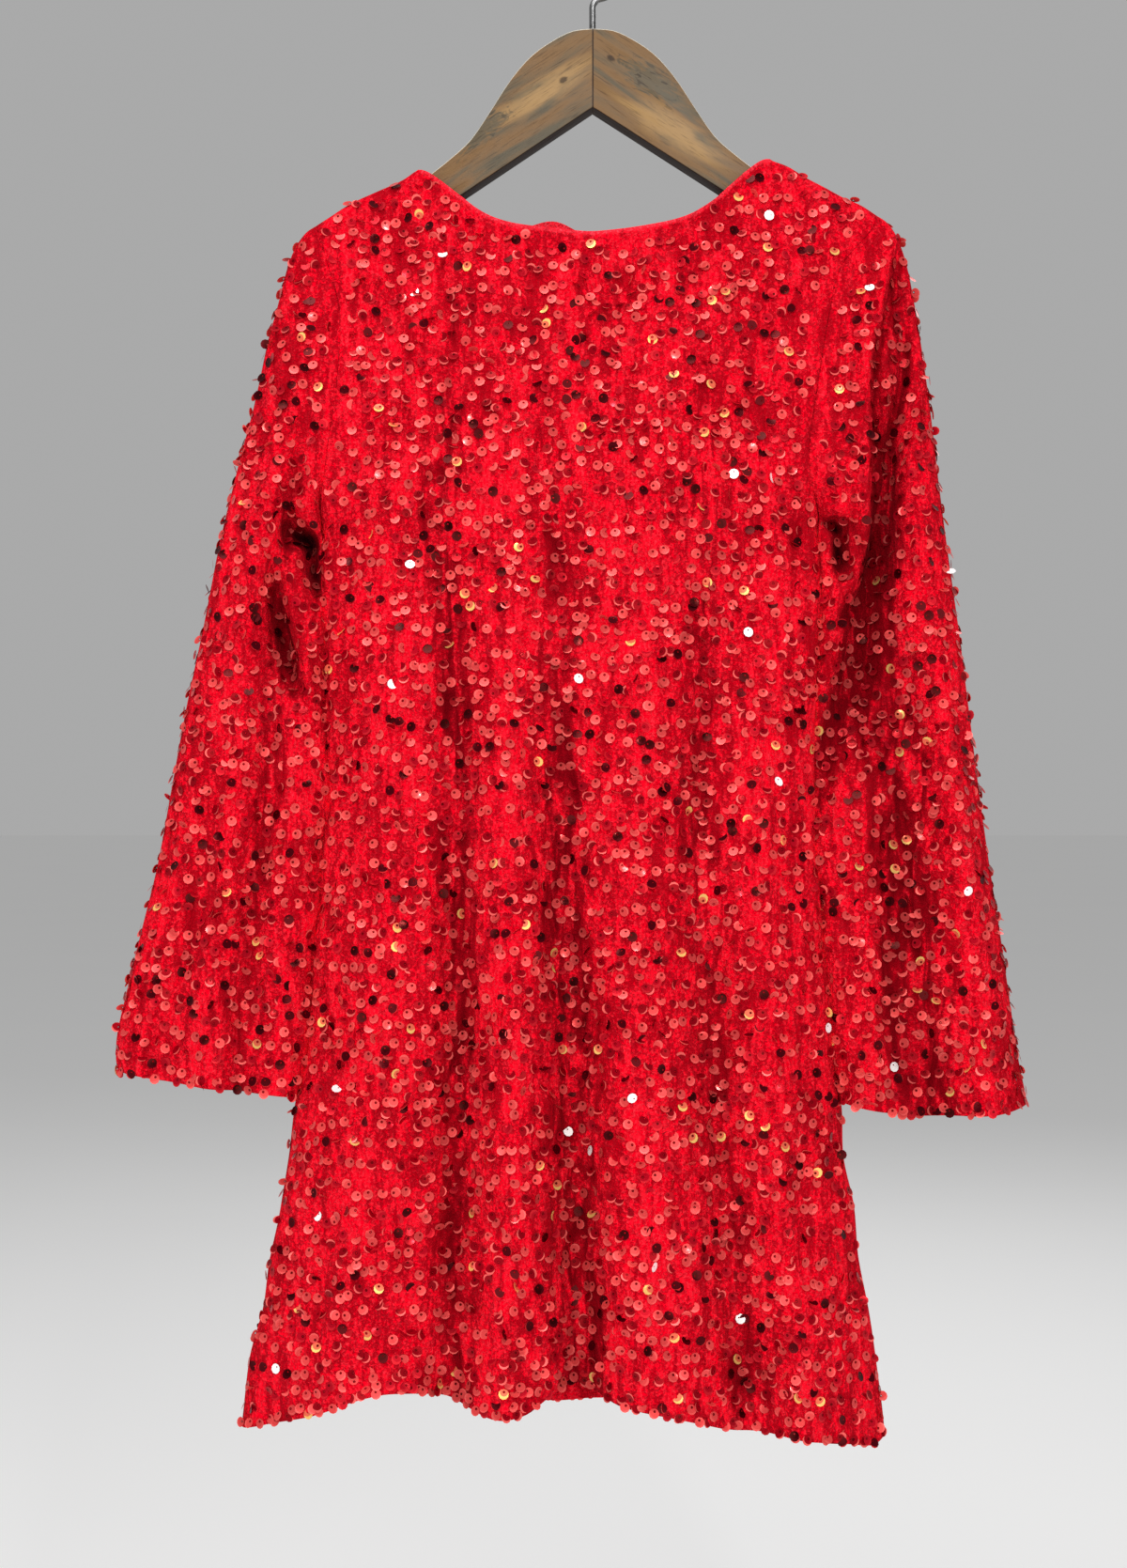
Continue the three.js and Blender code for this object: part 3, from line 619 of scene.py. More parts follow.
def outward_of(points: Array, sign: int, looped: bool) -> Array:
    """Unit outward directions of a grid of points.

    Args:
        points: The grid.
        sign: Turns the directions the right way out.
        looped: Whether the last column meets the first.

    Returns:
        One direction for each point.
    """
    if looped:
        across = np.roll(points, -1, axis=1) - np.roll(points, 1, axis=1)
    else:
        across = np.gradient(points, axis=1)
    normal = np.cross(across, np.gradient(points, axis=0)) * sign
    return normal / np.maximum(np.linalg.norm(normal, axis=2, keepdims=True), 1e-9)


def mark(piece: Piece, name: str, kind: str, values: Array) -> None:
    """Stores numbers, vectors or colours with the corners of a piece, for its finish to read."""
    key = {"FLOAT": "value", "FLOAT_VECTOR": "vector", "FLOAT_COLOR": "color"}[kind]
    attribute = piece.data.attributes.new(name, kind, "POINT")
    attribute.data.foreach_set(key, values.astype(np.float32).ravel())


def new_mesh(name: str, verts: Array, faces: Array) -> Piece:
    """A smooth shaded object made from quads, with its faces pointing out.

    Args:
        name: The name of the object.
        verts: Its corners, in metres.
        faces: Four corner numbers for each face.

    Returns:
        The new object, linked into the scene.
    """
    first, second, third = verts[faces[:, 0]], verts[faces[:, 1]], verts[faces[:, 2]]
    fourth = verts[faces[:, 3]]
    volume = np.sum(first * np.cross(second, third)) + np.sum(first * np.cross(third, fourth))
    if volume < 0:
        faces = faces[:, ::-1]
    return quad_mesh(name, verts, faces)


def quad_mesh(name: str, verts: Array, faces: Array) -> Piece:
    """A smooth shaded object made from quads as they are listed."""
    mesh = bpy.data.meshes.new(name)
    mesh.vertices.add(len(verts))
    mesh.vertices.foreach_set("co", verts.astype(np.float32).ravel())
    mesh.loops.add(faces.size)
    mesh.loops.foreach_set("vertex_index", faces.astype(np.int32).ravel())
    mesh.polygons.add(len(faces))
    mesh.polygons.foreach_set("loop_start", np.arange(0, faces.size, 4, dtype=np.int32))
    mesh.polygons.foreach_set("use_smooth", np.ones(len(faces), dtype=bool))
    mesh.update(calc_edges=True)
    mesh.validate()
    piece = bpy.data.objects.new(name, mesh)
    bpy.context.scene.collection.objects.link(piece)
    return piece


# ---------------------------------------------------------------- finishes


class Value:
    """A number that runs through a material, with Python's own arithmetic."""

    def __init__(self, recipe: "Recipe", socket: Socket) -> None:
        """Wraps one output socket of a recipe's nodes."""
        self.recipe = recipe
        self.socket = socket

    def _maths(self, operation: str, *others: "Value | float", swapped: bool = False) -> "Value":
        """A Math node on this value and others."""
        terms = [self, *others]
        if swapped:
            terms.reverse()
        sockets = dict(enumerate(terms))
        made = self.recipe.node("ShaderNodeMath", {"operation": operation}, sockets)
        return Value(self.recipe, made.outputs[0])

    def __add__(self, other: "Value | float") -> "Value":
        """Sum."""
        return self._maths("ADD", other)

    __radd__ = __add__

    def __sub__(self, other: "Value | float") -> "Value":
        """Difference."""
        return self._maths("SUBTRACT", other)

    def __rsub__(self, other: float) -> "Value":
        """Difference from a number."""
        return self._maths("SUBTRACT", other, swapped=True)

    def __mul__(self, other: "Value | float") -> "Value":
        """Product."""
        return self._maths("MULTIPLY", other)

    __rmul__ = __mul__

    def __pow__(self, other: float) -> "Value":
        """Power."""
        return self._maths("POWER", other)

    def above(self, start: float, end: float) -> "Value":
        """0 below start and 1 above end, softly between."""
        settings = {"interpolation_type": "SMOOTHSTEP"}
        sockets = {"Value": self, "From Min": start, "From Max": end}
        made = self.recipe.node("ShaderNodeMapRange", settings, sockets)
        return Value(self.recipe, made.outputs[0])


Input = Value | Socket | float | tuple


class Recipe:
    """The nodes of one material."""

    def __init__(self, name: str) -> None:
        """Starts a material with a Principled surface."""
        self.material = bpy.data.materials.new(name)
        self.material.use_nodes = True
        self.tree = self.material.node_tree
        self.surface = self.tree.nodes["Principled BSDF"]
        self.place = self.node("ShaderNodeTexCoord", {}, {}).outputs["Object"]

    def node(self, kind: str, settings: dict, sockets: dict) -> bpy.types.Node:
        """Adds one node.

        Args:
            kind: The node's type.
            settings: Its properties.
            sockets: Its inputs by name or number, each a link or a constant.

        Returns:
            The new node.
        """
        made = self.tree.nodes.new(kind)
        for key, setting in settings.items():
            setattr(made, key, setting)
        self.feed(made, sockets)
        return made

    def feed(self, made: bpy.types.Node, sockets: dict) -> None:
        """Links or sets some inputs of a node."""
        for key, given in sockets.items():
            if isinstance(given, Value):
                given = given.socket
            if isinstance(given, Socket):
                self.tree.links.new(given, made.inputs[key])
            else:
                made.inputs[key].default_value = given

    def noise(
        self, scale: float, detail: float = 3, place: Input | None = None, **more: float
    ) -> Value:
        """Noise with so many waves in a metre."""
        sockets = {"Vector": place or self.place, "Scale": scale, "Detail": detail, **more}
        return Value(self, self.node("ShaderNodeTexNoise", {}, sockets).outputs[0])

    def turned(self, place: Socket, turn: Triple) -> Socket:
        """Coordinates turned about the three axes."""
        sockets = {"Vector": place, "Rotation": turn}
        made = self.node("ShaderNodeVectorRotate", {"rotation_type": "EULER_XYZ"}, sockets)
        return made.outputs[0]

    def stretched(self, scale: Triple, turn: Triple = (0, 0, 0)) -> Socket:
        """The piece's own coordinates, turned and then scaled."""
        sockets = {"Vector": self.turned(self.place, turn), "Scale": scale}
        return self.node("ShaderNodeMapping", {}, sockets).outputs[0]

    def near(self, middle: Triple, reach: Triple, turn: Triple = (0, 0, 0)) -> Value:
        """1 at a place, in millimetres, and 0 at its reach along the turned axes."""

        def vector_maths(operation: str, sockets: dict) -> bpy.types.Node:
            """A Vector Math node."""
            return self.node("ShaderNodeVectorMath", {"operation": operation}, sockets)

        moved = vector_maths("SUBTRACT", {0: self.place, 1: tuple(v * MM for v in middle)})
        axes = self.turned(moved.outputs[0], turn)
        shared = vector_maths("DIVIDE", {0: axes, 1: tuple(v * MM for v in reach)})
        length = vector_maths("LENGTH", {0: shared.outputs[0]})
        return 1 - Value(self, length.outputs["Value"]).above(0, 1)

    def attribute(self, name: str) -> bpy.types.Node:
        """A node that reads one of the mesh's own attributes."""
        return self.node("ShaderNodeAttribute", {"attribute_name": name}, {})

    def mix(self, share: Input, first: Input, second: Input) -> Socket:
        """A colour between two others."""
        first = (*first, 1) if isinstance(first, tuple) else first
        second = (*second, 1) if isinstance(second, tuple) else second
        made = self.node("ShaderNodeMix", {"data_type": "RGBA"}, {0: share, 6: first, 7: second})
        return made.outputs[2]

    def bump(self, height: Value, strength: float, distance: float) -> Socket:
        """A surface direction that follows a height."""
        sockets = {"Height": height, "Strength": strength, "Distance": distance}
        return self.node("ShaderNodeBump", {}, sockets).outputs[0]


@dataclass(frozen=True)
class Velvet:
    """Crushed stretch velvet: its pile lies this way and that, with a pink painted sheen on the
    ends of its pile. Painted shade darkens its furrows and creases and makes the hollows under
    the arms near black, and a painted highlight lightens its ridges and neck edge.
    """

    name: str = "crushed_velvet"
    lit: Triple = (1.0, 0.0, 0.014)
    crushed: Triple = (0.40, 0.0, 0.006)
    # Painted shade in furrows and creases.
    furrow: Triple = (0.09, 0.0, 0.002)
    # Near-black painted shade in the hollows under the arms.
    hollow: Triple = (0.012, 0.0, 0.001)
    # Pink of the painted sheen on the pile, its ridges and the neck edge.
    sheen_pink: Triple = (1.0, 0.06, 0.09)
    sheen: Triple = (1.0, 0.05, 0.08)
    broad_waves: Triple = (46, 46, 12)
    streak_waves: Triple = (150, 150, 34)
    stroke_waves: Triple = (760, 760, 200)
    fleck_waves: float = 560
    grain_waves: float = 850

    def make(self) -> Finish:
        """The finished material."""
        recipe = Recipe(self.name)
        # The cloth's painted shade: positive in furrows and hollows, negative on ridges and along
        # the neck edge, where it paints a highlight.
        height = Value(recipe, recipe.attribute("furrow").outputs["Fac"])
        broad = recipe.noise(1, 3, recipe.stretched(self.broad_waves), Distortion=0.5)
        streaks = recipe.noise(1, 7, recipe.stretched(self.streak_waves), Distortion=0.9)
        flecks = recipe.noise(self.fleck_waves, 3, Distortion=0.8).above(0.36, 0.60)
        # The painted shade also darkens the pile's mottle a little in furrows and lightens it on
        # ridges.
        tone = streaks + broad * 0.4 + flecks * 0.18 - height * 0.12
        raised = tone.above(0.63, 0.95)
        grains = recipe.noise(self.grain_waves, 2).above(0.50, 0.60)
        strokes = recipe.noise(1, 4, recipe.stretched(self.stroke_waves), Distortion=0.5)
        strokes = strokes.above(0.42, 0.62)
        nap = 0.62 + flecks * 0.19 + strokes * 0.19
        colour = recipe.mix(raised * nap, self.crushed, self.lit)
        # Painted shade: darker in furrows and creases.
        furrow_shade = (height - (streaks - 0.5) * 2.4).above(0.25, 1.25)
        colour = recipe.mix(furrow_shade * 0.85, colour, self.furrow)
        # Near-black painted shade in the hollows under the arms.
        hollow_shade = (height - (streaks - 0.5) * 0.9).above(1.15, 1.7)
        colour = recipe.mix(hollow_shade, colour, self.hollow)
        # Painted sheen: pink specks on the raised pile, fewer in painted shade, and a painted
        # highlight on ridges and along the neck edge.
        painted_sheen = (grains * 0.24 + strokes * 0.12) * (0.2 + 0.8 * raised) * (1 - furrow_shade)
        painted_sheen = painted_sheen + (height * -1).above(0.4, 1.2) * (0.25 + 0.35 * grains)
        colour = recipe.mix(painted_sheen, colour, self.sheen_pink)
        pile = flecks * 0.6 + grains * 0.5 + raised * 0.8
        recipe.feed(
            recipe.surface,
            {
                "Base Color": colour,
                "Roughness": 0.72 + 0.2 * flecks,
                "Normal": recipe.bump(pile, 0.7, 0.0012),
                "Sheen Weight": 0.1,
                "Sheen Roughness": 0.3,
                "Sheen Tint": (*self.sheen, 1),
                "Specular IOR Level": 0.02,
            },
        )
        return recipe.material


@dataclass(frozen=True)
class Foil:
    """Glossy foil; each disc has its own shade, and another at its far edge, which paints a lit
    crescent. Many shades are painted reflections, and the white ones painted glints.
    """

    name: str = "sequin_foil"
    glint: Triple = (1.0, 0.16, 0.13)
    # A painted dark dot at the hole: its thread, with painted shade in it.
    hole: Triple = (0.03, 0.0, 0.001)

    def make(self) -> Finish:
        """The finished material."""
        recipe = Recipe(self.name)
        on_disc = recipe.attribute("on_disc").outputs["Vector"]
        place = recipe.node("ShaderNodeSeparateXYZ", {}, {0: on_disc})
        x, y, turn = (Value(recipe, output) for output in place.outputs)
        from_hole = (x * x + y * y) ** 0.5
        near, far = (recipe.attribute(name).outputs["Color"] for name in ("foil", "foil_far"))
        # The far edge's shade: a painted lit crescent where it is brighter than the shade round
        # the hole.
        colour = recipe.mix((from_hole - turn).above(-0.07, 0.07), near, far)
        glinting = Value(recipe, near).above(0.5, 0.7)
        # The painted dark dot at the hole, for its thread and painted shade in it; the white
        # discs, painted glints, get none.
        colour = recipe.mix((1 - from_hole.above(0.22, 0.30)) * (1 - glinting), colour, self.hole)
        scratches = recipe.noise(900, 2).above(0.4, 0.7)
        recipe.feed(
            recipe.surface,
            {
                "Base Color": colour,
                "Metallic": 0.25,
                "Roughness": 0.16 + 0.12 * scratches,
                "Specular IOR Level": 0.4,
                "Specular Tint": (*self.glint, 1),
            },
        )
        return recipe.material


@dataclass(frozen=True)
class StainedWood:
    """Dark stained wood under a satin lacquer with wear, with its grain along the arm, painted
    shade on its underside and a painted highlight on its top edges.
    """

    name: str
    lean: float
    glow: Triple
    knot: Triple
    patch: Triple
    honey: Triple = (0.30, 0.180, 0.074)
    brown: Triple = (0.165, 0.092, 0.040)
    grey: Triple = (0.088, 0.072, 0.046)
    dark: Triple = (0.014, 0.006, 0.004)
    # A painted highlight on the top edges.
    wear_and_highlight: Triple = (0.85, 0.78, 0.64)
    figure_waves: Triple = (22, 150, 130)
    fibre_waves: Triple = (110, 900, 1500)
    scribble_waves: Triple = (90, 200, 330)
    glow_reach: Triple = (52, 60, 14)
    knot_reach: Triple = (5, 60, 3)
    patch_reach: Triple = (34, 60, 13)
    joint: Triple = (0, 0, -70)
    joint_reach: Triple = (0.7, 1000, 1000)

    def make(self) -> Finish:
        """The finished material."""
        recipe = Recipe(self.name)
        turn = (0, math.radians(self.lean), 0)
        figure = recipe.noise(1, 5, recipe.stretched(self.figure_waves, turn), Distortion=0.6)
        fibre = recipe.noise(1, 3, recipe.stretched(self.fibre_waves, turn))
        scribble = recipe.noise(1, 6, recipe.stretched(self.scribble_waves, turn), Distortion=2.2)
        glow = recipe.near(self.glow, self.glow_reach, turn)
        knot = recipe.near(self.knot, self.knot_reach, turn)
        patch = recipe.near(self.patch, self.patch_reach, turn)
        colour = recipe.mix(figure.above(0.32, 0.56), self.grey, self.brown)
        glowing = (glow * 0.9 + (figure - 0.5) * 1.3).above(0.2, 0.85)
        colour = recipe.mix(glowing, colour, self.honey)
        smudge = (patch * 0.9 + (scribble - 0.5) * 1.5).above(0.3, 0.65)
        colour = recipe.mix(smudge * 0.85, colour, self.grey)
        colour = recipe.mix(scribble.above(0.58, 0.66) * patch * 0.7, colour, self.dark)
        colour = recipe.mix((knot + (scribble - 0.5)).above(0.35, 0.8) * 0.75, colour, self.dark)
        colour = recipe.mix(fibre.above(0.52, 0.76) * 0.45, colour, self.dark)
        # Painted shade darkens the underside and a painted highlight lightens the top edges.
        shade_and_highlight = Value(recipe, recipe.attribute("shade_and_highlight").outputs["Fac"])
        colour = recipe.mix(shade_and_highlight.above(0.05, 0.7) * 0.97, colour, self.dark)
        colour = recipe.mix((shade_and_highlight * -1).above(0.1, 0.6) * 0.7, colour, self.wear_and_highlight)
        colour = recipe.mix(recipe.near(self.joint, self.joint_reach), colour, self.dark)
        # Wear of the lacquer, by the wood's figure: rougher, with less coat.
        wear_and_highlight = figure.above(0.5, 0.7)
        recipe.feed(
            recipe.surface,
            {
                "Base Color": colour,
                "Roughness": 0.46 + 0.16 * wear_and_highlight + 0.1 * fibre,
                "Normal": recipe.bump(figure * 0.4 + fibre * 0.6, 0.3, 0.0004),
                "Coat Weight": 0.12 * (1 - wear_and_highlight) * (1 - shade_and_highlight.above(0, 0.3)),
                "Coat Roughness": 0.3,
                "Specular IOR Level": 0.12,
            },
        )
        return recipe.material


@dataclass(frozen=True)
class SteelWire:
    """Bright drawn steel with fine draw marks."""

    name: str = "steel_wire"
    steel: Triple = (0.20, 0.20, 0.20)
    tarnish: Triple = (0.08, 0.078, 0.075)

    def make(self) -> Finish:
        """The finished material."""
        recipe = Recipe(self.name)
        spots = recipe.noise(300, 4).above(0.5, 0.75)
        marks = recipe.noise(1, 3, recipe.stretched((2500, 2500, 160)))
        recipe.feed(
            recipe.surface,
            {
                "Base Color": recipe.mix(spots, self.steel, self.tarnish),
                "Metallic": 1.0,
                "Roughness": 0.2 + 0.18 * marks,
                "Normal": recipe.bump(marks, 0.15, 0.0002),
            },
        )
        return recipe.material


@dataclass(frozen=True)
class Matt:
    """Smooth matt paint, a shade uneven, for the floor."""

    name: str = "pale_floor"
    pale: Triple = (0.97, 0.97, 0.965)
    other: Triple = (0.95, 0.95, 0.95)

    def make(self) -> Finish:
        """The finished material."""
        recipe = Recipe(self.name)
        colour = recipe.mix(recipe.noise(1.5, 3), self.pale, self.other)
        sockets = {"Base Color": colour, "Roughness": 0.85, "Specular IOR Level": 0.0}
        recipe.feed(recipe.surface, sockets)
        return recipe.material


# ---------------------------------------------------------------- sequins


# How sequins are sewn and hang, in millimetres and degrees, and SPREAD_DOWN in rows of the
# cloth's grid. LIFT and LYING_LEAN are a middle value and its spread; other pairs are limits.
# ROW_WANDER is how long across, how long down and how high the rows' waves are.
LIFT = (0.42, 0.42)
LOWEST_LIFT = -0.2
ROW_WANDER = (21, 34, 8)
SPREAD_ALONG = 1.5
SPREAD_DOWN = 0.5
LAST_ROW_PITCH = 1.3
LAST_ROW_INSET = (1.7, 3.4)
MARGIN_SHARE = (0.7, 1.35)
ASTRAY_SHARE = 0.25
HEADING_SPREAD = 0.6
STANDING_SHARE = 0.14
STANDING_LEAN = (28, 75)
LYING_LEAN = (13, 10)
ROCK_SPREAD = 9
BRIGHTNESS = (0.82, 1.1)
# How much the velvet's painted shade dims the sequins on it, and the most painted shade that
# counts.
FURROW_DIMMING = 0.5
DIMMEST_FURROW = 1.4
TURN_SPREAD = 0.08
TURN_SLANT = 0.3

# Corners and rings of a sequin: the rings' widths and the hole's place are shares of its radius.
HOLE_OFF_CENTRE = 0.42
CUP_RING = 0.42
HOLE_RING = 0.38
RIM_HEIGHT = 0.14
CUP_DROP = 0.1

# Foils: how common each is, its shade round the hole, its shade at the far edge, and where it
# turns from one to the other. Beside the plain coral foil, the rows paint reflections into the
# colour: a dark shade round the hole with a bright far edge is painted shade with a painted lit
# crescent, the dark red and black foils are painted dark reflections, the gold one a painted warm
# reflection and the last, white one a painted glint.
FOIL_COLOURS_AND_REFLECTIONS = Table(
    ("share", "red", "green", "blue", "far_red", "far_green", "far_blue", "turn"),
    (
        (47, 0.72, 0.058, 0.058, 0.84, 0.098, 0.092, 1.05),
        (25, 0.28, 0.0, 0.006, 0.86, 0.115, 0.105, 1.06),
        (14, 0.42, 0.002, 0.012, 0.58, 0.012, 0.022, 0.95),
        (6, 0.050, 0.0, 0.003, 0.55, 0.015, 0.020, 1.25),
        (6, 0.020, 0.0, 0.001, 0.045, 0.0, 0.003, 0.80),
        (2.5, 0.85, 0.15, 0.08, 0.95, 0.55, 0.16, 0.85),
        (0.5, 1.25, 1.15, 1.1, 1.25, 1.2, 1.15, 0.80),
    ),
)

# The last place of a grid that still has a neighbour lies this far before its count.
JUST_INSIDE = 1.001
WHOLLY = 0.99


def running_length(track: Array, counted: Array | float = 1) -> Array:
    """Length along a line of points up to each of them, over the counted steps."""
    steps = np.linalg.norm(np.diff(track, axis=0), axis=1) * counted
    return np.concatenate([[0], np.cumsum(steps)])


def column_of(numbers: Array) -> Array:
    """Numbers as a column, one for each row of a list of directions."""
    return numbers[:, None]


@dataclass
class SequinRows:
    """Rows of cupped sequins, sewn loosely to one piece of cloth.

    The borders are lines of points that sequins keep off, each with its margin, and `down` is
    the direction in which the rows follow each other.
    """

    name: str
    cloth: Cloth
    down: Triple
    borders: list[tuple[Array, float]]
    seed: int
    radius: float = 2.55
    row_pitch: float = 8.6
    pitch: float = 6.2
    sides: int = 10

    def make(self, finish: Finish) -> Piece:
        """All the sequins of the piece as one mesh.

        Args:
            finish: The foil of the sequins.

        Returns:
            The new object.
        """
        random = np.random.default_rng(self.seed)
        row, column = self.sewn_places(random)
        middle, outward = self.cloth.at(row, column)
        keep = self.clear_of_edges(middle)
        middle, outward = middle[keep], outward[keep]
        cup, cup_faces = cupped_sequin(self.radius, self.sides)
        frames = self.tilted(outward, random)
        hole = np.array([0, HOLE_OFF_CENTRE * self.radius, 0])
        lift = np.maximum(LOWEST_LIFT, random.normal(*LIFT, len(middle)))
        middle = middle + outward * column_of(lift)
        verts = np.einsum("nij,vj->nvi", frames, cup - hole) + middle[:, None, :]
        count = len(middle)
        faces = cup_faces[None] + (np.arange(count) * len(cup))[:, None, None]
        piece = quad_mesh(self.name, verts.reshape(-1, 3) * MM, faces.reshape(-1, 4))
        in_furrow = self.cloth.furrow_at(row, column)[keep]
        self.colour(piece, cup, in_furrow, random)
        piece.data.materials.append(finish)
        LOG.info("%s: %d sequins, %d faces", self.name, count, len(faces) * len(cup_faces))
        return piece

    def sewn_places(self, random: np.random.Generator) -> tuple[Array, Array]:
        """Where the sequins are sewn, along wavy rows, in places of the cloth's grid."""
        points = self.cloth.points
        if self.cloth.looped:
            points = np.concatenate([points, points[:, :1]], axis=1)
        depth = points @ np.array(self.down)
        rows, columns = depth.shape
        numbers = np.arange(columns)
        first, last = depth.min(), depth.max()
        found_rows, found_columns = [], []
        wander = Crumple(self.seed + 1, *ROW_WANDER)
        for line in np.arange(first, last, self.row_pitch):
            level = line + wander.at(points[rows // 2, :, 0], np.full(columns, line))
            crossed = [
                np.interp(level[j], depth[:, j], np.arange(rows), left=-1, right=-1)
                for j in numbers
            ]
            place = np.array(crossed)
            inside = place >= 0
            shown = np.minimum(numbers, columns - JUST_INSIDE)
            track, _ = self.cloth.at(np.clip(place, 0, rows - 1), shown)
            reach = running_length(track, inside[1:] & inside[:-1])
            if reach[-1] < self.pitch:
                continue
            spots = np.arange(random.uniform(0, self.pitch), reach[-1], self.pitch)
            spots = spots + random.normal(0, SPREAD_ALONG, len(spots))
            column = np.interp(spots, reach, numbers)
            row = np.interp(column, numbers, place) + random.normal(0, SPREAD_DOWN, len(spots))
            good = np.interp(column, numbers, inside.astype(float)) > WHOLLY
            found_rows.append(row[good])
            found_columns.append(column[good])
        reach = running_length(points[-1])
        spots = np.arange(0, reach[-1], self.pitch * LAST_ROW_PITCH)
        column = np.interp(spots + random.normal(0, SPREAD_ALONG, len(spots)), reach, numbers)
        row_gap = np.linalg.norm(points[-1, 0] - points[-2, 0])
        found_rows.append(rows - 1 - random.uniform(*LAST_ROW_INSET, len(spots)) / row_gap)
        found_columns.append(column)
        row, column = np.concatenate(found_rows), np.concatenate(found_columns)
        return np.clip(row, 0, rows - JUST_INSIDE), np.clip(column, 0, columns - JUST_INSIDE)

    def clear_of_edges(self, middle: Array) -> Array:
        """Which sequins keep off the seams and edges by about their margins."""
        keep = np.ones(len(middle), bool)
        uneven = np.random.default_rng(self.seed + 2).uniform(*MARGIN_SHARE, len(middle))
        for border, margin in self.borders:
            keep &= self.distance(middle, border) > margin * uneven
        return keep

    @staticmethod
    def distance(middle: Array, border: Array) -> Array:
        """How far each sequin lies from the nearest point of an edge."""
        nearest = np.full(len(middle), 1e9)
        for point in border:
            nearest = np.minimum(nearest, np.linalg.norm(middle - point, axis=1))
        return nearest

    def tilted(self, outward: Array, random: np.random.Generator) -> Array:
        """Axes of each sequin: it hangs from its hole, and its lower side stands off the cloth.

        Args:
            outward: The cloth's outward direction under each sequin.
            random: The source of chance.

        Returns:
            A matrix for each sequin, with its axes as columns.
        """
        count = len(outward)
        down = np.array([0, 0, -1.0])
        fall = down - outward * column_of(outward @ down)
        fall /= np.maximum(np.linalg.norm(fall, axis=1, keepdims=True), 1e-6)
        side = np.cross(outward, fall)
        astray = random.random(count) < ASTRAY_SHARE
        anywhere = random.uniform(-math.pi, math.pi, count)
        heading = column_of(np.where(astray, anywhere, random.normal(0, HEADING_SPREAD, count)))
        aim = fall * np.cos(heading) + side * np.sin(heading)
        standing = random.random(count) < STANDING_SHARE
        upright = random.uniform(*STANDING_LEAN, count)
        lean = np.where(standing, upright, random.normal(*LYING_LEAN, count))
        lean = column_of(np.radians(lean))
        rock = column_of(np.radians(random.normal(0, ROCK_SPREAD, count)))
        hang = aim * np.cos(lean) + outward * np.sin(lean)
        up = outward * np.cos(lean) - aim * np.sin(lean)
        first = np.cross(-hang, up)
        rocked = first * np.cos(rock) + up * np.sin(rock)
        up = up * np.cos(rock) - first * np.sin(rock)
        return np.stack([rocked, -hang, up], axis=2)

    def colour(
        self,
        piece: Piece,
        cup: Array,
        in_furrow: Array,
        random: np.random.Generator,
    ) -> None:
        """Gives every sequin its own foil, with painted reflections among the foils, dimmed by
        the painted shade of the velvet under it.

        Args:
            piece: The mesh of all the sequins.
            cup: The corners of one of them.
            in_furrow: The painted shade of the velvet under each one, which dims it.
            random: The source of chance.
        """
        count = len(in_furrow)
        shades = np.array(FOIL_COLOURS_AND_REFLECTIONS.rows)
        share = shades[:, 0] / shades[:, 0].sum()
        chosen = shades[random.choice(len(shades), count, p=share)]
        # Painted shade: sequins dim where the velvet under them has painted shade.
        dimming = FURROW_DIMMING * np.clip(in_furrow, 0, DIMMEST_FURROW)
        dimmed = random.uniform(*BRIGHTNESS, count) * (1 - dimming)
        for name, first in (("foil", 1), ("foil_far", 4)):
            shade = np.clip(chosen[:, first : first + 3] * column_of(dimmed), 0, 1)
            shade = np.concatenate([shade, np.ones((count, 1))], axis=1)
            shade = np.repeat(shade, len(cup), axis=0)
            mark(piece, name, "FLOAT_COLOR", shade)
        place = np.zeros((count, len(cup), 3))
        place[:, :, :2] = cup[None, :, :2] / self.radius - np.array([0, HOLE_OFF_CENTRE])
        # Where each disc turns from the shade round its hole to its far shade: the edge of the
        # painted lit crescent.
        turn = chosen[:, 7] + random.normal(0, TURN_SPREAD, count)
        slant = column_of(random.normal(0, TURN_SLANT, count))
        place[:, :, 2] = column_of(turn) + slant * place[:, :, 0]
        mark(piece, "on_disc", "FLOAT_VECTOR", place)


def cupped_sequin(radius: float, sides: int) -> tuple[Array, Array]:
    """Models one cupped sequin with a hole off its centre.

    Args:
        radius: The radius of the disc, in millimetres.
        sides: How many sides its edge has.

    Returns:
        Its corners in millimetres and its faces.
    """
    bpy.ops.object.select_all(action="DESELECT")
    bpy.ops.mesh.primitive_circle_add(
        vertices=sides, radius=radius, fill_type="NGON", location=(0, 0, RIM_HEIGHT)
    )
    cup = bpy.context.object
    bpy.ops.object.mode_set(mode="EDIT")
    bpy.ops.mesh.select_all(action="SELECT")
    for ring, drop in ((CUP_RING, -CUP_DROP), (HOLE_RING, 0)):
        bpy.ops.mesh.inset(thickness=radius * ring, depth=0)
        bpy.ops.transform.translate(value=(0, radius * HOLE_OFF_CENTRE / 2, drop))
    bpy.ops.mesh.delete(type="FACE")
    bpy.ops.object.mode_set(mode="OBJECT")
    bpy.ops.object.transform_apply(location=True, rotation=True, scale=True)
    verts = np.array([vertex.co[:] for vertex in cup.data.vertices])
    faces = np.array([polygon.vertices[:] for polygon in cup.data.polygons])
    bpy.data.objects.remove(cup)
    return verts, faces


# ---------------------------------------------------------------- the dress

# How far sequins keep off the edges, and from where inside the neck its own margin counts.
NECK_MARGIN = 4.4
BARE_NECK_FROM = 20
EDGE_MARGIN = 1.2
BODY_SIDE_MARGINS = (4.5, 7.5)
ARMHOLE_MARGIN = 6
SLEEVE_SEAM_MARGIN = 2.5

# The rows of sequins on a sleeve slant outwards by this much.
SLEEVE_SLANT = 0.16

CLOTH_THICKNESS = 1.3
SEQUIN_SEED_STEP = 10


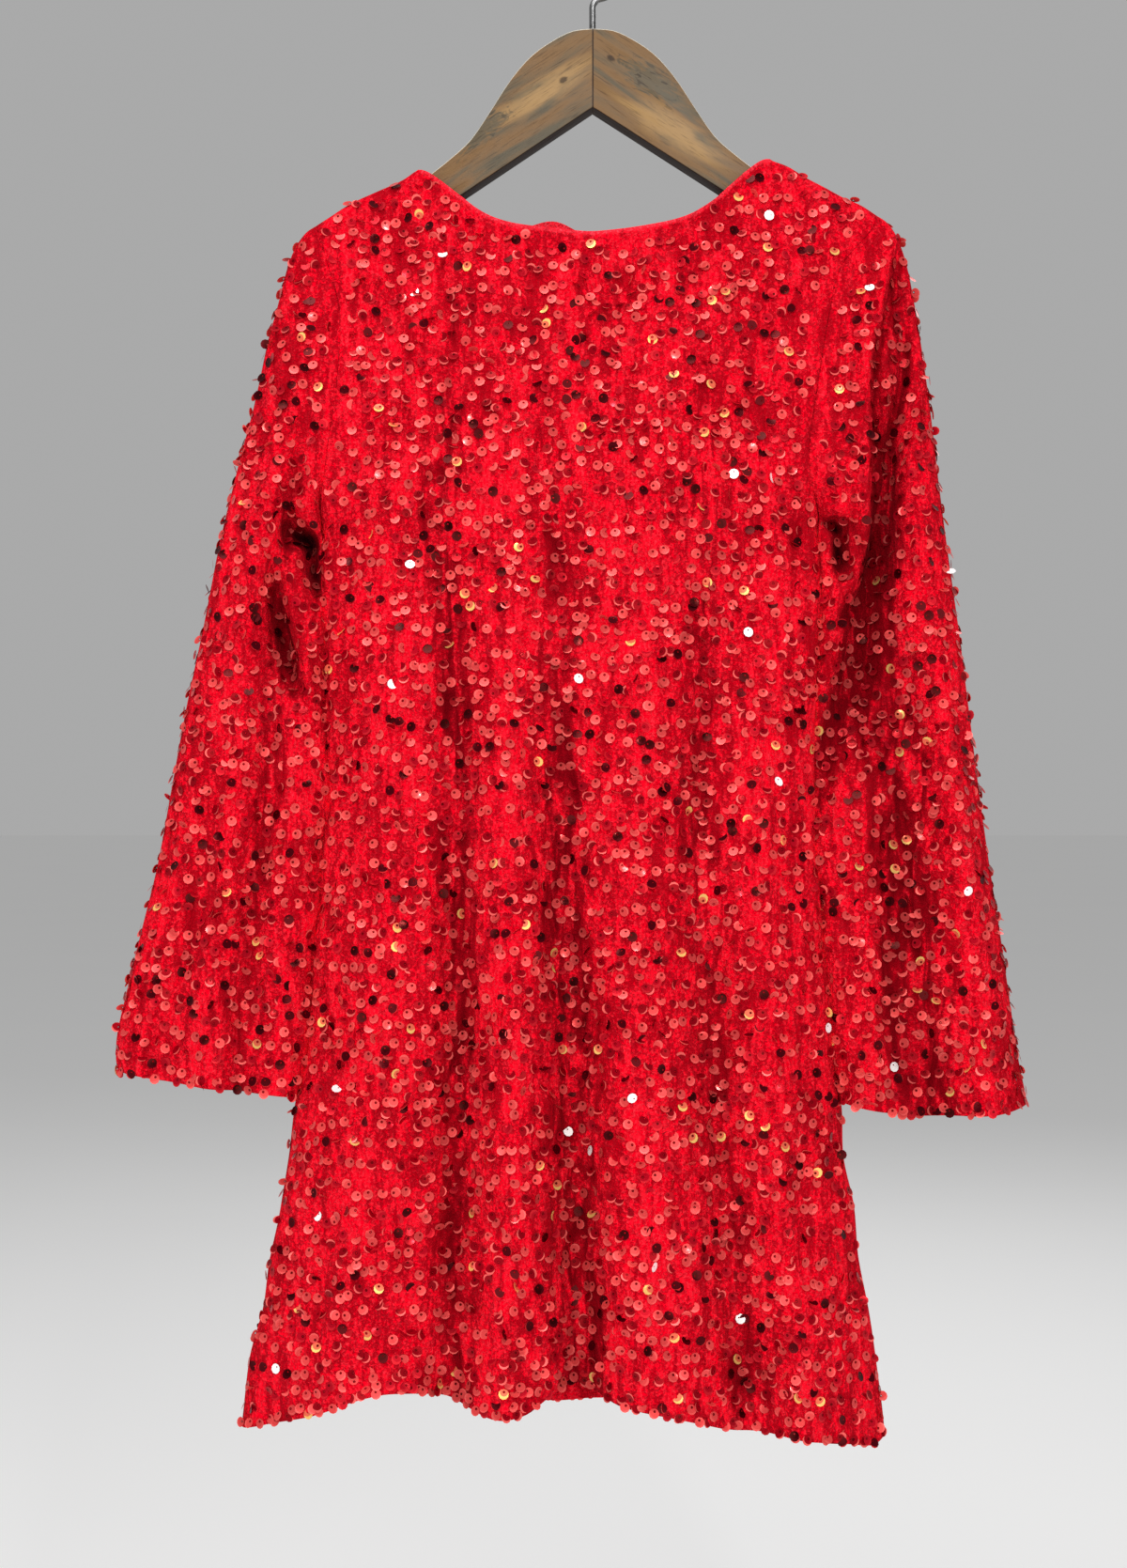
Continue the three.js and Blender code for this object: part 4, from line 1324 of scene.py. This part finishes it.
def put_in_place(piece: Piece, node: str) -> None:
    """Rides a piece on the body, in place of one of the solids."""
    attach(piece, BODY)
    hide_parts(node)


@dataclass
class ClothPiece:
    """What the body's pieces and the sleeves share: cloth with sequins on it."""

    name: str
    seed: int
    flat: tuple[float, float]
    flat_area: float

    def cloth(self) -> Cloth:
        """The piece's outer face."""
        raise NotImplementedError

    def borders(self, points: Array) -> list[tuple[Array, float]]:
        """Edges of the cloth that sequins keep off, each with its margin."""
        raise NotImplementedError

    def down(self) -> Triple:
        """The direction in which rows of sequins follow each other."""
        return (0, 0, -1)

    def make(self, velvet: Finish, foil: Finish) -> list[Piece]:
        """Builds and dresses the piece.

        Args:
            velvet: The finish of the cloth.
            foil: The finish of the sequins.

        Returns:
            The cloth and its sequins.
        """
        cloth = self.cloth()
        wall = cloth.wall(f"cloth_{self.name}", CLOTH_THICKNESS)
        wall.data.materials.append(velvet)
        put_in_place(wall, self.name)
        name, seed = f"sequins_{self.name}", self.seed + SEQUIN_SEED_STEP
        rows = SequinRows(name, cloth, self.down(), self.borders(cloth.points), seed)
        sequins = rows.make(foil)
        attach(sequins, BODY)
        return [wall, sequins]


@dataclass
class BodyPanel(ClothPiece):
    """The front or the back of the dress, from its shoulder seams to its hem."""

    side: Side
    hem: Table
    folds: Table
    creases: Table
    columns: int = 150
    upper_rows: int = 66
    lower_rows: int = 154
    upper_crowding: float = 1.8

    def cloth(self) -> Cloth:
        """The piece's outer face, with its folds and creases."""
        across = edge_crowded(self.columns)[None, :]
        top = top_edge(self.side, across)
        upper = np.linspace(0, 1, self.upper_rows)[:, None] ** self.upper_crowding
        lower = np.linspace(0, 1, self.lower_rows + 1)[1:, None]
        hem = self.hem.along("across", "z", across)
        z = np.concatenate([top + (ARMPIT_Z - top) * upper, ARMPIT_Z + (hem - ARMPIT_Z) * lower])
        across = np.broadcast_to(across, z.shape)
        points, furrow = self.surface(across, z, np.broadcast_to(hem, z.shape))
        outward = outward_of(points, self.side.value, False)
        return Cloth(points, outward, furrow)

    def surface(self, across: Array, z: Array, hem: Array) -> tuple[Array, Array]:
        """Points of the outer face.

        Args:
            across: Places across the piece, from -1 to 1.
            z: Their heights.
            hem: The height of the hem below them.

        Returns:
            The points, and the painted shade at each one, negative where it is a painted
            highlight.
        """
        left, right = side_edge(Arm.LEFT, z), side_edge(Arm.RIGHT, z)
        x = left + (right - left) * (1 + across) / 2
        under = top_edge(self.side, across) - z
        parted = under + NECK_PARTING * inside_neck(across)
        full = BODY_SIZES.along("z", self.side.name.lower(), z)
        full = full * quarter_round(parted, SHOULDER_ROUND, SHOULDER_POWER)
        opened = armhole_depth(z, parted)
        share = np.clip((ARMPIT_Z - z) / (ARMPIT_Z - BODY_SIZES.rows[-1][0]), 0, 1)
        folds = fold_rise(self.folds, across, share, z)
        settled = ease(*BODY_SETTLES, under)
        broad, small = crumples(self.seed, BODY_CRUMPLES)
        loose = crease_rise(self.creases, x, z) + (broad.at(x, z) + small.at(x, z))
        calm = 1 - np.abs(across) ** EDGE_FADE
        lift = calm * (folds + settled * loose)
        depth = opened + (full - opened) * tube_lens(across) + lift
        inside = inside_neck(across)
        rolled = NECK_ROLL.at(under) * ease(0, NECK_ROLL_FADE, inside) + HEM_ROLL.at(z - hem)
        depth = depth + calm * rolled
        y = self.side.value * np.maximum(depth, SEAM_GAP / 2)
        # Painted shade from the folds, begun higher than their relief, and from creases and
        # crumple; a painted sheen along the neck edge.
        shown = fold_rise(self.folds, across, share, z - FOLDS_SHOW_ABOVE)
        pile = np.maximum(shown, -FOLD_SHADE * BODY_FURROW) + settled * loose
        neck_sheen = NECK_SHEEN * bell(under, NECK_SHEEN_WIDTH[self.side])
        neck_sheen = neck_sheen * ease(0, NECK_SHEEN_FADE, inside)
        return np.stack([x, y, z], axis=-1), shaded(pile, BODY_FURROW) - neck_sheen

    def borders(self, points: Array) -> list[tuple[Array, float]]:
        """The neck edge, the shoulder seams, the hem and the two sides."""
        at_neck = inside_neck(edge_crowded(self.columns)) > BARE_NECK_FROM
        found = [(points[0][at_neck], NECK_MARGIN), (points[0][~at_neck], EDGE_MARGIN)]
        found += [(points[-1], EDGE_MARGIN)]
        return [*found, *zip((points[:, 0], points[:, -1]), BODY_SIDE_MARGINS)]


@dataclass
class Sleeve(ClothPiece):
    """One long flared sleeve, from its armhole to its cuff."""

    arm: Arm
    sizes: Table
    front_folds: Table
    back_folds: Table
    creases: Table
    hollows: Table
    cuff_bow: float
    around: int = 100
    rows: int = 180
    head_sections: float = 5

    def cloth(self) -> Cloth:
        """The sleeve's outer face, around from the seam under the arm by the front."""
        sections = self.sizes.rows[-1][0]
        spread = np.linspace(0, 1, self.rows)[:, None] * sections
        half = edge_crowded(self.around // 2 + 1)
        front_share = (1 - half) / 2
        back_share = (1 + half[1:-1]) / 2
        front, front_furrow = self.surface(spread, front_share[None, :], Side.FRONT)
        back, back_furrow = self.surface(spread, back_share[None, :], Side.BACK)
        points = np.concatenate([front, back], axis=1)
        furrow = np.concatenate([front_furrow, back_furrow], axis=1)
        outward = outward_of(points, -self.arm.value, True)
        return Cloth(points, outward, furrow, True)

    def surface(self, section: Array, share: Array, side: Side) -> tuple[Array, Array]:
        """Points of the outer face.

        Args:
            section: Places down the sleeve, in sections of the table.
            share: Places from the outer edge, 0, to the inner edge, 1.
            side: The front or the back of the sleeve.

        Returns:
            The points, and the painted shade at each one, negative where it is a painted
            highlight.
        """
        section, share = np.broadcast_arrays(section, share)
        row = {name: self.sizes.along("section", name, section) for name in SLEEVE_COLUMNS[1:]}
        shoulder = float(top_edge(Side.FRONT, np.array([float(self.arm.value)]))[0])
        hole_z = shoulder + (ARMPIT_Z - shoulder) * share
        hole_x = side_edge(self.arm, hole_z) + self.arm.value * SEAM_GAP
        hole_depth = armhole_depth(hole_z, shoulder - hole_z)
        head = dict(zip(SLEEVE_COLUMNS, self.sizes.rows[0]))
        head_x = float(self.inner_x(np.array([0.0]), np.array([head["inner_z"]]))[0])
        inner_x = self.inner_x(section, row["inner_z"])
        settled = ease(0, self.head_sections, section)
        straight_x = head["outer_x"] + (head_x - head["outer_x"]) * share
        straight_z = head["outer_z"] + (head["inner_z"] - head["outer_z"]) * share
        bow_x = (hole_x - straight_x) * (1 - settled)
        bow_z = (hole_z - straight_z) * (1 - settled)
        x = row["outer_x"] + (inner_x - row["outer_x"]) * share + bow_x
        z = row["outer_z"] + (row["inner_z"] - row["outer_z"]) * share + bow_z
        across = 2 * share - 1
        z = z - self.cuff_bow * (1 - across**2) * ease(*CUFF_BOW_SECTIONS, section)
        lens = np.where(share > 0.5, tube_lens(across, INNER_FULLNESS), tube_lens(across))
        folds = self.front_folds if side is Side.FRONT else self.back_folds
        folded = fold_rise(folds, share, section / self.sizes.rows[-1][0], section)
        loose = crease_rise(self.creases, x, z) if side is Side.FRONT else 0
        broad, small = crumples(self.seed, SLEEVE_CRUMPLES)
        loose = loose + broad.at(x, z + SLEEVE_CRUMPLE_SHIFT * side.value) + small.at(x, z)
        calm = 1 - np.abs(across) ** EDGE_FADE
        settled_loose = ease(*SLEEVE_SETTLES, section) * loose
        hollow = crease_rise(self.hollows, x, z) if side is Side.FRONT else 0
        lift = calm * (folded + settled_loose + hollow)
        depth = hole_depth * (1 - settled) + row["depth"] * lens * settled + lift
        cuff = self.sizes.rows[-1][0] - section
        depth = depth + calm * CUFF_ROLL.at(cuff)
        y = row["back"] + side.value * depth
        # Painted shade from the folds, creases and crumple, darkest in the hollows under the
        # arms.
        pile = np.maximum(folded, -FOLD_SHADE * SLEEVE_FURROW) + settled_loose
        pile = np.maximum(pile, -SLEEVE_SHADE * SLEEVE_FURROW) + hollow
        return np.stack([x, y, z], axis=-1), shaded(pile, SLEEVE_FURROW)

    def inner_x(self, section: Array, z: Array) -> Array:
        """Edge of the sleeve beside the body: sewn to it at the armhole, tucked in below."""
        tucked = SLEEVE_TUCK * ease(0, self.head_sections, section)
        return side_edge(self.arm, z) + self.arm.value * (SEAM_GAP - tucked)

    def borders(self, points: Array) -> list[tuple[Array, float]]:
        """The armhole, the cuff and the seam under the arm."""
        edges = (points[0], points[-1], points[:, 0])
        return list(zip(edges, (ARMHOLE_MARGIN, EDGE_MARGIN, SLEEVE_SEAM_MARGIN)))

    def down(self) -> Triple:
        """Down and a little outwards."""
        slant = SLEEVE_SLANT * self.arm.value
        return tuple(np.array([slant, 0, -1]) / math.hypot(slant, 1))


# ---------------------------------------------------------------- the hanger

# How far the top of the wood has dropped at each distance out from the joint.
HANGER_TOP = Table(
    ("out", "drop"),
    (
        (0, 0), (10, 1), (19, 5), (31, 13.2), (41.5, 25), (52, 41), (62, 55.5), (73, 65.5),
        (82, 72.6),
    ),
)

# How far the arms lie below the cloth of the shoulders: its wall and some air.
CLOTH_WALL = 1.8
CLOTH_CLEARANCE = 1.1

# Painted shade and highlight by the direction that the wood faces: painted shade underneath, a
# painted highlight on the top edges.
UNDERSIDE_SHADE = 1.6
UNDERSIDE_SHADE_FROM = 0.35
EDGE_HIGHLIGHT_FACING = 0.62
EDGE_HIGHLIGHT_WIDTH = 0.25
EDGE_HIGHLIGHT_TOP = (0.25, 0.5)

SHADE_SMOOTH_BELOW = math.radians(50)

# The wire: the inside of its loop, its thickness, the bend at the top of the stem, the stem's
# length, and the angle at which the loop ends, counted from the right over the top.
HOOK_INSIDE_RADIUS = 16
HOOK_WIRE = 3.5
HOOK_NECK_RADIUS = 5
HOOK_STEM = 12.5
HOOK_TIP_ANGLE = 205
LOOP_RADIUS = HOOK_INSIDE_RADIUS + HOOK_WIRE / 2
STEM_TOP_Z = -HOOK_INSIDE_RADIUS - math.sqrt(
    (LOOP_RADIUS + HOOK_NECK_RADIUS) ** 2 - HOOK_NECK_RADIUS**2
)
WOOD_TOP_Z = STEM_TOP_Z - HOOK_STEM


def finish_mesh(threshold: float) -> None:
    """Joins corners closer than this, turns the faces out and shades the edited mesh smooth."""
    bpy.ops.mesh.select_all(action="SELECT")
    bpy.ops.mesh.remove_doubles(threshold=threshold * MM)
    bpy.ops.mesh.normals_make_consistent(inside=False)
    bpy.ops.object.mode_set(mode="OBJECT")
    bpy.ops.object.shade_smooth_by_angle(angle=SHADE_SMOOTH_BELOW)


@dataclass
class HangerHalf:
    """One half of the wooden hanger, from the joint under the hook to its rounded tip.

    Stations are cross-sections at a distance from the joint: the first of those that show, the
    last and how many, then the first and the number of those in the cloth, and the angles of
    those round the tip with their number.
    """

    name: str
    arm: Arm
    glow: Triple
    knot: Triple
    patch: Triple
    thickness: float = 11.8
    centre_height: float = 40
    underside_slope: float = 0.655
    straight_underside: float = 74
    arm_height: float = 20
    reach_inside: float = 4
    lean: float = 0.014
    edge_round: float = 2.4
    joint_gap: float = 0.03
    arm_starts: float = 99
    shown_stations: tuple[float, float, int] = (3, 82, 24)
    hidden_from: float = 96
    hidden_stations: int = 6
    tip_angles: tuple[float, float, int] = (15, 78, 6)
    tip_droop: float = 0.4
    grain_lean: float = -33

    def top(self, out: float) -> float:
        """Height of the top line at a distance from the joint."""
        sign = self.arm.value
        shown_end = HANGER_TOP.rows[-1][0]
        if out <= shown_end:
            drop = float(HANGER_TOP.along("out", "drop", np.array(out)))
            return WOOD_TOP_Z - drop + sign * self.lean * out
        shoulder = LEFT_SHOULDER if self.arm is Arm.LEFT else RIGHT_SHOULDER

        def height(place: float) -> float:
            """Height of the shoulder seam above a place."""
            return float(shoulder.along("x", "z", np.array(sign * place)))

        either_way = 2
        slope = (height(out + either_way) - height(out - either_way)) / (2 * either_way)
        return height(out) - (CLOTH_WALL + CLOTH_CLEARANCE) * math.hypot(1, slope)

    def bottom(self, out: float) -> float:
        """Height of the underside at a distance from the joint."""
        apex = WOOD_TOP_Z - self.centre_height
        lift = self.arm.value * self.lean
        if out <= self.straight_underside:
            return apex - self.underside_slope * out + lift * out
        straight = self.straight_underside
        bend = apex - self.underside_slope * straight + lift * straight
        arm = self.top(max(out, self.arm_starts)) - self.arm_height
        share = min(1.0, (out - straight) / (self.arm_starts - straight))
        return bend + (arm - bend) * share

    def stations(self) -> list[tuple[float, float, float]]:
        """Distance from the joint, top and bottom of each cross-section."""
        ends = {Arm.LEFT: LEFT_SHOULDER.rows[0][0], Arm.RIGHT: RIGHT_SHOULDER.rows[-1][0]}
        tip = abs(ends[self.arm]) - self.reach_inside
        tip_start = tip - self.arm_height / 2
        hidden = np.linspace(self.hidden_from, tip_start, self.hidden_stations)
        outs = [self.joint_gap, *np.linspace(*self.shown_stations), *hidden]
        found = [(out, self.top(out), self.bottom(out)) for out in outs]
        top, bottom = found[-1][1], found[-1][2]
        for angle in np.radians(np.linspace(*self.tip_angles)):
            half = self.arm_height / 2 * math.cos(angle)
            along = self.arm_height / 2 * math.sin(angle)
            middle = (top + bottom) / 2 - self.tip_droop * along
            found.append((tip_start + along, middle + half, middle - half))
        return found

    def make(self) -> Piece:
        """Models the half from a block that is drawn out station by station.

        Returns:
            The new object, with rounded edges and its finish.
        """
        stations = self.stations()
        sign = self.arm.value
        (first, top, bottom), (second, next_top, next_bottom) = stations[:2]
        bpy.ops.object.select_all(action="DESELECT")
        middle = (sign * (first + second) / 2 * MM, 0, (top + bottom) / 2 * MM)
        bpy.ops.mesh.primitive_cube_add(size=1, location=middle)
        half = bpy.context.object
        half.name = f"wood_{self.name}"
        half.scale = ((second - first) * MM, self.thickness * MM, (top - bottom) * MM)
        bpy.ops.object.transform_apply(location=True, rotation=False, scale=True)
        bpy.ops.object.mode_set(mode="EDIT")
        bpy.ops.mesh.select_mode(type="FACE")
        self.select_end(half, sign)
        self.set_end((top, bottom), (next_top, next_bottom), sign * second)
        for (out, *now), (after, *wanted) in zip(stations[1:-1], stations[2:]):
            step = (sign * (after - out) * MM, 0, 0)
            bpy.ops.mesh.extrude_region_move(TRANSFORM_OT_translate={"value": step})
            self.set_end(now, wanted, sign * after)
        bpy.ops.object.mode_set(mode="OBJECT")
        self.round_edges(half)
        self.paint_shade_and_highlight(half)
        name, lean = f"stained_{self.name}", self.grain_lean * sign
        wood = StainedWood(name, lean, self.glow, self.knot, self.patch)
        half.data.materials.append(wood.make())
        put_in_place(half, self.name)
        return half

    @staticmethod
    def select_end(half: Piece, sign: int) -> None:
        """Selects the face that looks away from the joint."""
        bpy.ops.mesh.select_all(action="DESELECT")
        bpy.ops.object.mode_set(mode="OBJECT")
        for polygon in half.data.polygons:
            polygon.select = polygon.normal.x * sign > 0.9
        bpy.ops.object.mode_set(mode="EDIT")

    @staticmethod
    def set_end(now: Sequence[float], wanted: Sequence[float], x: float) -> None:
        """Moves and stretches the selected end from one top and bottom to another.

        Args:
            now: Its top and bottom.
            wanted: The top and bottom that it gets.
            x: Where it lies.
        """
        shift = (sum(wanted) - sum(now)) / 2 * MM
        bpy.ops.transform.translate(value=(0, 0, shift))
        ratio = (wanted[0] - wanted[1]) / (now[0] - now[1])
        centre = (x * MM, 0, sum(wanted) / 2 * MM)
        bpy.ops.transform.resize(value=(1, 1, ratio), center_override=centre)

    def round_edges(self, half: Piece) -> None:
        """Rounds the four long edges and the tip, and leaves the joint's face flat."""
        mesh, hair = half.data, 0.1 * MM
        bpy.ops.object.mode_set(mode="EDIT")
        bpy.ops.mesh.select_mode(type="EDGE")
        bpy.ops.mesh.select_all(action="DESELECT")
        bpy.ops.object.mode_set(mode="OBJECT")
        ends = max(abs(vertex.co.x) for vertex in mesh.vertices)
        for edge in mesh.edges:
            one, two = (mesh.vertices[i].co for i in edge.vertices)
            long_edge = abs(one.x - two.x) > hair and abs(one.y - two.y) < hair
            tip_edge = min(abs(one.x), abs(two.x)) > ends - hair
            edge.select = long_edge or tip_edge
        bpy.ops.object.mode_set(mode="EDIT")
        bpy.ops.mesh.bevel(offset=self.edge_round * MM, segments=4, clamp_overlap=True)
        finish_mesh(0.02)

    @staticmethod
    def paint_shade_and_highlight(half: Piece) -> None:
        """Marks painted shade on the underside, up to 1, and a painted highlight on the top
        edges, down to -1.
        """
        normals = np.array([vertex.normal[:] for vertex in half.data.vertices])
        # A painted highlight on the top edges, and painted shade underneath.
        edge_highlight = bell(np.abs(normals[:, 1]) - EDGE_HIGHLIGHT_FACING, EDGE_HIGHLIGHT_WIDTH)
        edge_highlight = edge_highlight * ease(*EDGE_HIGHLIGHT_TOP, normals[:, 2])
        under = np.clip(-normals[:, 2] * UNDERSIDE_SHADE - UNDERSIDE_SHADE_FROM, 0, 1)
        mark(half, "shade_and_highlight", "FLOAT", under - edge_highlight)


@dataclass
class WireHook:
    """The bent wire: a straight stem, a small bend to the right and a round loop.

    The cut end is chamfered, by shares of the wire's thickness in and out.
    """

    name: str = "hook"
    sides: int = 16
    loop_steps: int = 64
    bend_steps: int = 12
    chamfer_in: float = 0.14
    chamfer_out: float = 0.12

    def make(self) -> Piece:
        """Models the wire from a disc that is drawn up and spun round.

        Returns:
            The new object with its finish.
        """
        lean = math.atan2(-HOOK_INSIDE_RADIUS - STEM_TOP_Z, -HOOK_NECK_RADIUS)
        bend = math.pi - lean
        start = lean - math.pi
        turn = math.radians(HOOK_TIP_ANGLE) - start
        foot = (WOOD_TOP_Z + SEAM_GAP) * MM
        bpy.ops.object.select_all(action="DESELECT")
        radius = HOOK_WIRE / 2 * MM
        bpy.ops.mesh.primitive_circle_add(
            vertices=self.sides, radius=radius, fill_type="NGON", location=(0, 0, foot)
        )
        wire = bpy.context.object
        wire.name = "wire_hook"
        bpy.ops.object.transform_apply(location=True, rotation=False, scale=False)
        bpy.ops.object.mode_set(mode="EDIT")
        bpy.ops.mesh.select_mode(type="FACE")
        bpy.ops.mesh.select_all(action="SELECT")
        rise = STEM_TOP_Z * MM - foot
        bpy.ops.mesh.extrude_region_move(TRANSFORM_OT_translate={"value": (0, 0, rise)})
        bend_middle = (HOOK_NECK_RADIUS * MM, 0, STEM_TOP_Z * MM)
        loop_middle = (0, 0, -HOOK_INSIDE_RADIUS * MM)
        for steps, angle, middle in (
            (self.bend_steps, -bend, bend_middle),
            (self.loop_steps, turn, loop_middle),
        ):
            bpy.ops.mesh.spin(steps=steps, angle=angle, center=middle, axis=(0, 1, 0))
        wide = HOOK_WIRE * MM
        bpy.ops.mesh.inset(thickness=wide * self.chamfer_in, depth=wide * self.chamfer_out)
        finish_mesh(0.01)
        wire.data.materials.append(SteelWire().make())
        put_in_place(wire, self.name)
        return wire


# ---------------------------------------------------------------- the studio


@dataclass(frozen=True)
class Lamp:
    """A soft rectangular lamp, with its place, size and aim in metres and its power in watts."""

    name: str
    place: Triple
    size: tuple[float, float]
    power: float
    aim: Triple

    def make(self) -> None:
        """Hangs the lamp, where the camera doesn't see it."""
        data = bpy.data.lights.new(self.name, "AREA")
        data.shape = "RECTANGLE"
        data.size, data.size_y = self.size
        data.energy = self.power
        lamp = bpy.data.objects.new(self.name, data)
        lamp.location = self.place
        direction = Vector(self.aim) - Vector(self.place)
        lamp.rotation_euler = direction.to_track_quat("-Z", "Y").to_euler()
        lamp.visible_camera = False
        bpy.context.scene.collection.objects.link(lamp)


LAMPS = (
    Lamp("key", (-0.55, -1.1, 1.5), (1.5, 1.1), 31, (0, 0, -0.42)),
    Lamp("front", (0.2, -4.4, 0.2), (5.6, 2.4), 106, (0, 0, -0.55)),
    Lamp("rear", (0.6, 2.2, 1.2), (1.8, 1.8), 20, (0, 0, -0.42)),
    Lamp("sparkle", (0.3, -1.6, 0.5), (0.09, 0.09), 5, (0, 0, -0.42)),
)


@dataclass
class Studio:
    """Plain pale floor, soft light and the camera."""

    floor_z: float = -1.25
    floor_size: float = 60
    sky_grey: float = 0.80
    sky_strength: float = 0.5
    camera_place: Triple = (-0.0149, -1.0, -0.4345)
    picture_height: float = 0.80112
    picture_distance: float = 1.0
    nearest_seen: float = 0.05

    def make(self) -> None:
        """Builds all of it."""
        self.floor()
        self.sky()
        for lamp in LAMPS:
            lamp.make()
        self.camera()

    def floor(self) -> None:
        """A wide pale floor well below the hem."""
        bpy.ops.object.select_all(action="DESELECT")
        bpy.ops.mesh.primitive_plane_add(size=self.floor_size, location=(0, 0, self.floor_z))
        floor = bpy.context.object
        floor.name = "floor"
        floor.data.materials.append(Matt().make())

    def sky(self) -> None:
        """Pale light from all around."""
        world = bpy.data.worlds.new("studio")
        bpy.context.scene.world = world
        world.use_nodes = True
        background = world.node_tree.nodes["Background"]
        background.inputs["Color"].default_value = (*[self.sky_grey] * 3, 1)
        background.inputs["Strength"].default_value = self.sky_strength

    def camera(self) -> None:
        """The camera, level and square to the dress."""
        data = bpy.data.cameras.new("camera")
        data.sensor_fit = "VERTICAL"
        data.angle = 2 * math.atan(self.picture_height / 2 / self.picture_distance)
        data.clip_start = self.nearest_seen
        camera = bpy.data.objects.new("camera", data)
        camera.location = self.camera_place
        camera.rotation_euler = (math.pi / 2, 0, 0)
        bpy.context.scene.collection.objects.link(camera)
        bpy.context.scene.camera = camera


# ---------------------------------------------------------------- making everything


def dress_parts() -> list[BodyPanel | Sleeve]:
    """The four cut pieces of the dress."""
    front = (Side.FRONT, FRONT_HEM, FRONT_FOLDS, FRONT_CREASES)
    back = (Side.BACK, BACK_HEM, BACK_FOLDS, BACK_CREASES)
    left_folds = (LEFT_SLEEVE_FRONT_FOLDS, LEFT_SLEEVE_BACK_FOLDS)
    right_folds = (RIGHT_SLEEVE_FRONT_FOLDS, RIGHT_SLEEVE_BACK_FOLDS)
    left = (Arm.LEFT, LEFT_SLEEVE, *left_folds, LEFT_SLEEVE_CREASES, LEFT_HOLLOWS)
    right = (Arm.RIGHT, RIGHT_SLEEVE, *right_folds, RIGHT_SLEEVE_CREASES, RIGHT_HOLLOWS)
    return [
        BodyPanel("front", 11, (0.385, 0.66), 0.184, *front),
        BodyPanel("back", 23, (0.385, 0.66), 0.184, *back),
        Sleeve("sleeve_left", 37, (0.26, 0.45), 0.077, *left, cuff_bow=0),
        Sleeve("sleeve_right", 53, (0.265, 0.46), 0.088, *right, cuff_bow=6),
    ]


def hanger_parts() -> list[HangerHalf | WireHook]:
    """The two halves of the hanger and its hook."""
    return [
        HangerHalf(
            name="hanger_left",
            arm=Arm.LEFT,
            glow=(-25, 0, -83),
            knot=(-15, 0, -77),
            patch=(-60, 0, -104),
        ),
        HangerHalf(
            name="hanger_right",
            arm=Arm.RIGHT,
            glow=(42, 0, -103),
            knot=(9, 0, -66),
            patch=(30, 0, -78),
        ),
        WireHook(),
    ]


def main() -> None:
    """Builds the dress, its hanger and the studio."""
    logging.basicConfig(level=logging.INFO, format="%(message)s")
    velvet, foil = Velvet().make(), Foil().make()
    for part in dress_parts():
        for piece in part.make(velvet, foil):
            LOG.info("%s: %d faces", piece.name, len(piece.data.polygons))
    for part in hanger_parts():
        piece = part.make()
        LOG.info("%s: %d faces", piece.name, len(piece.data.polygons))
    Studio().make()
    bpy.context.scene.view_settings.view_transform = "Standard"


if __name__ == "__main__":
    main()
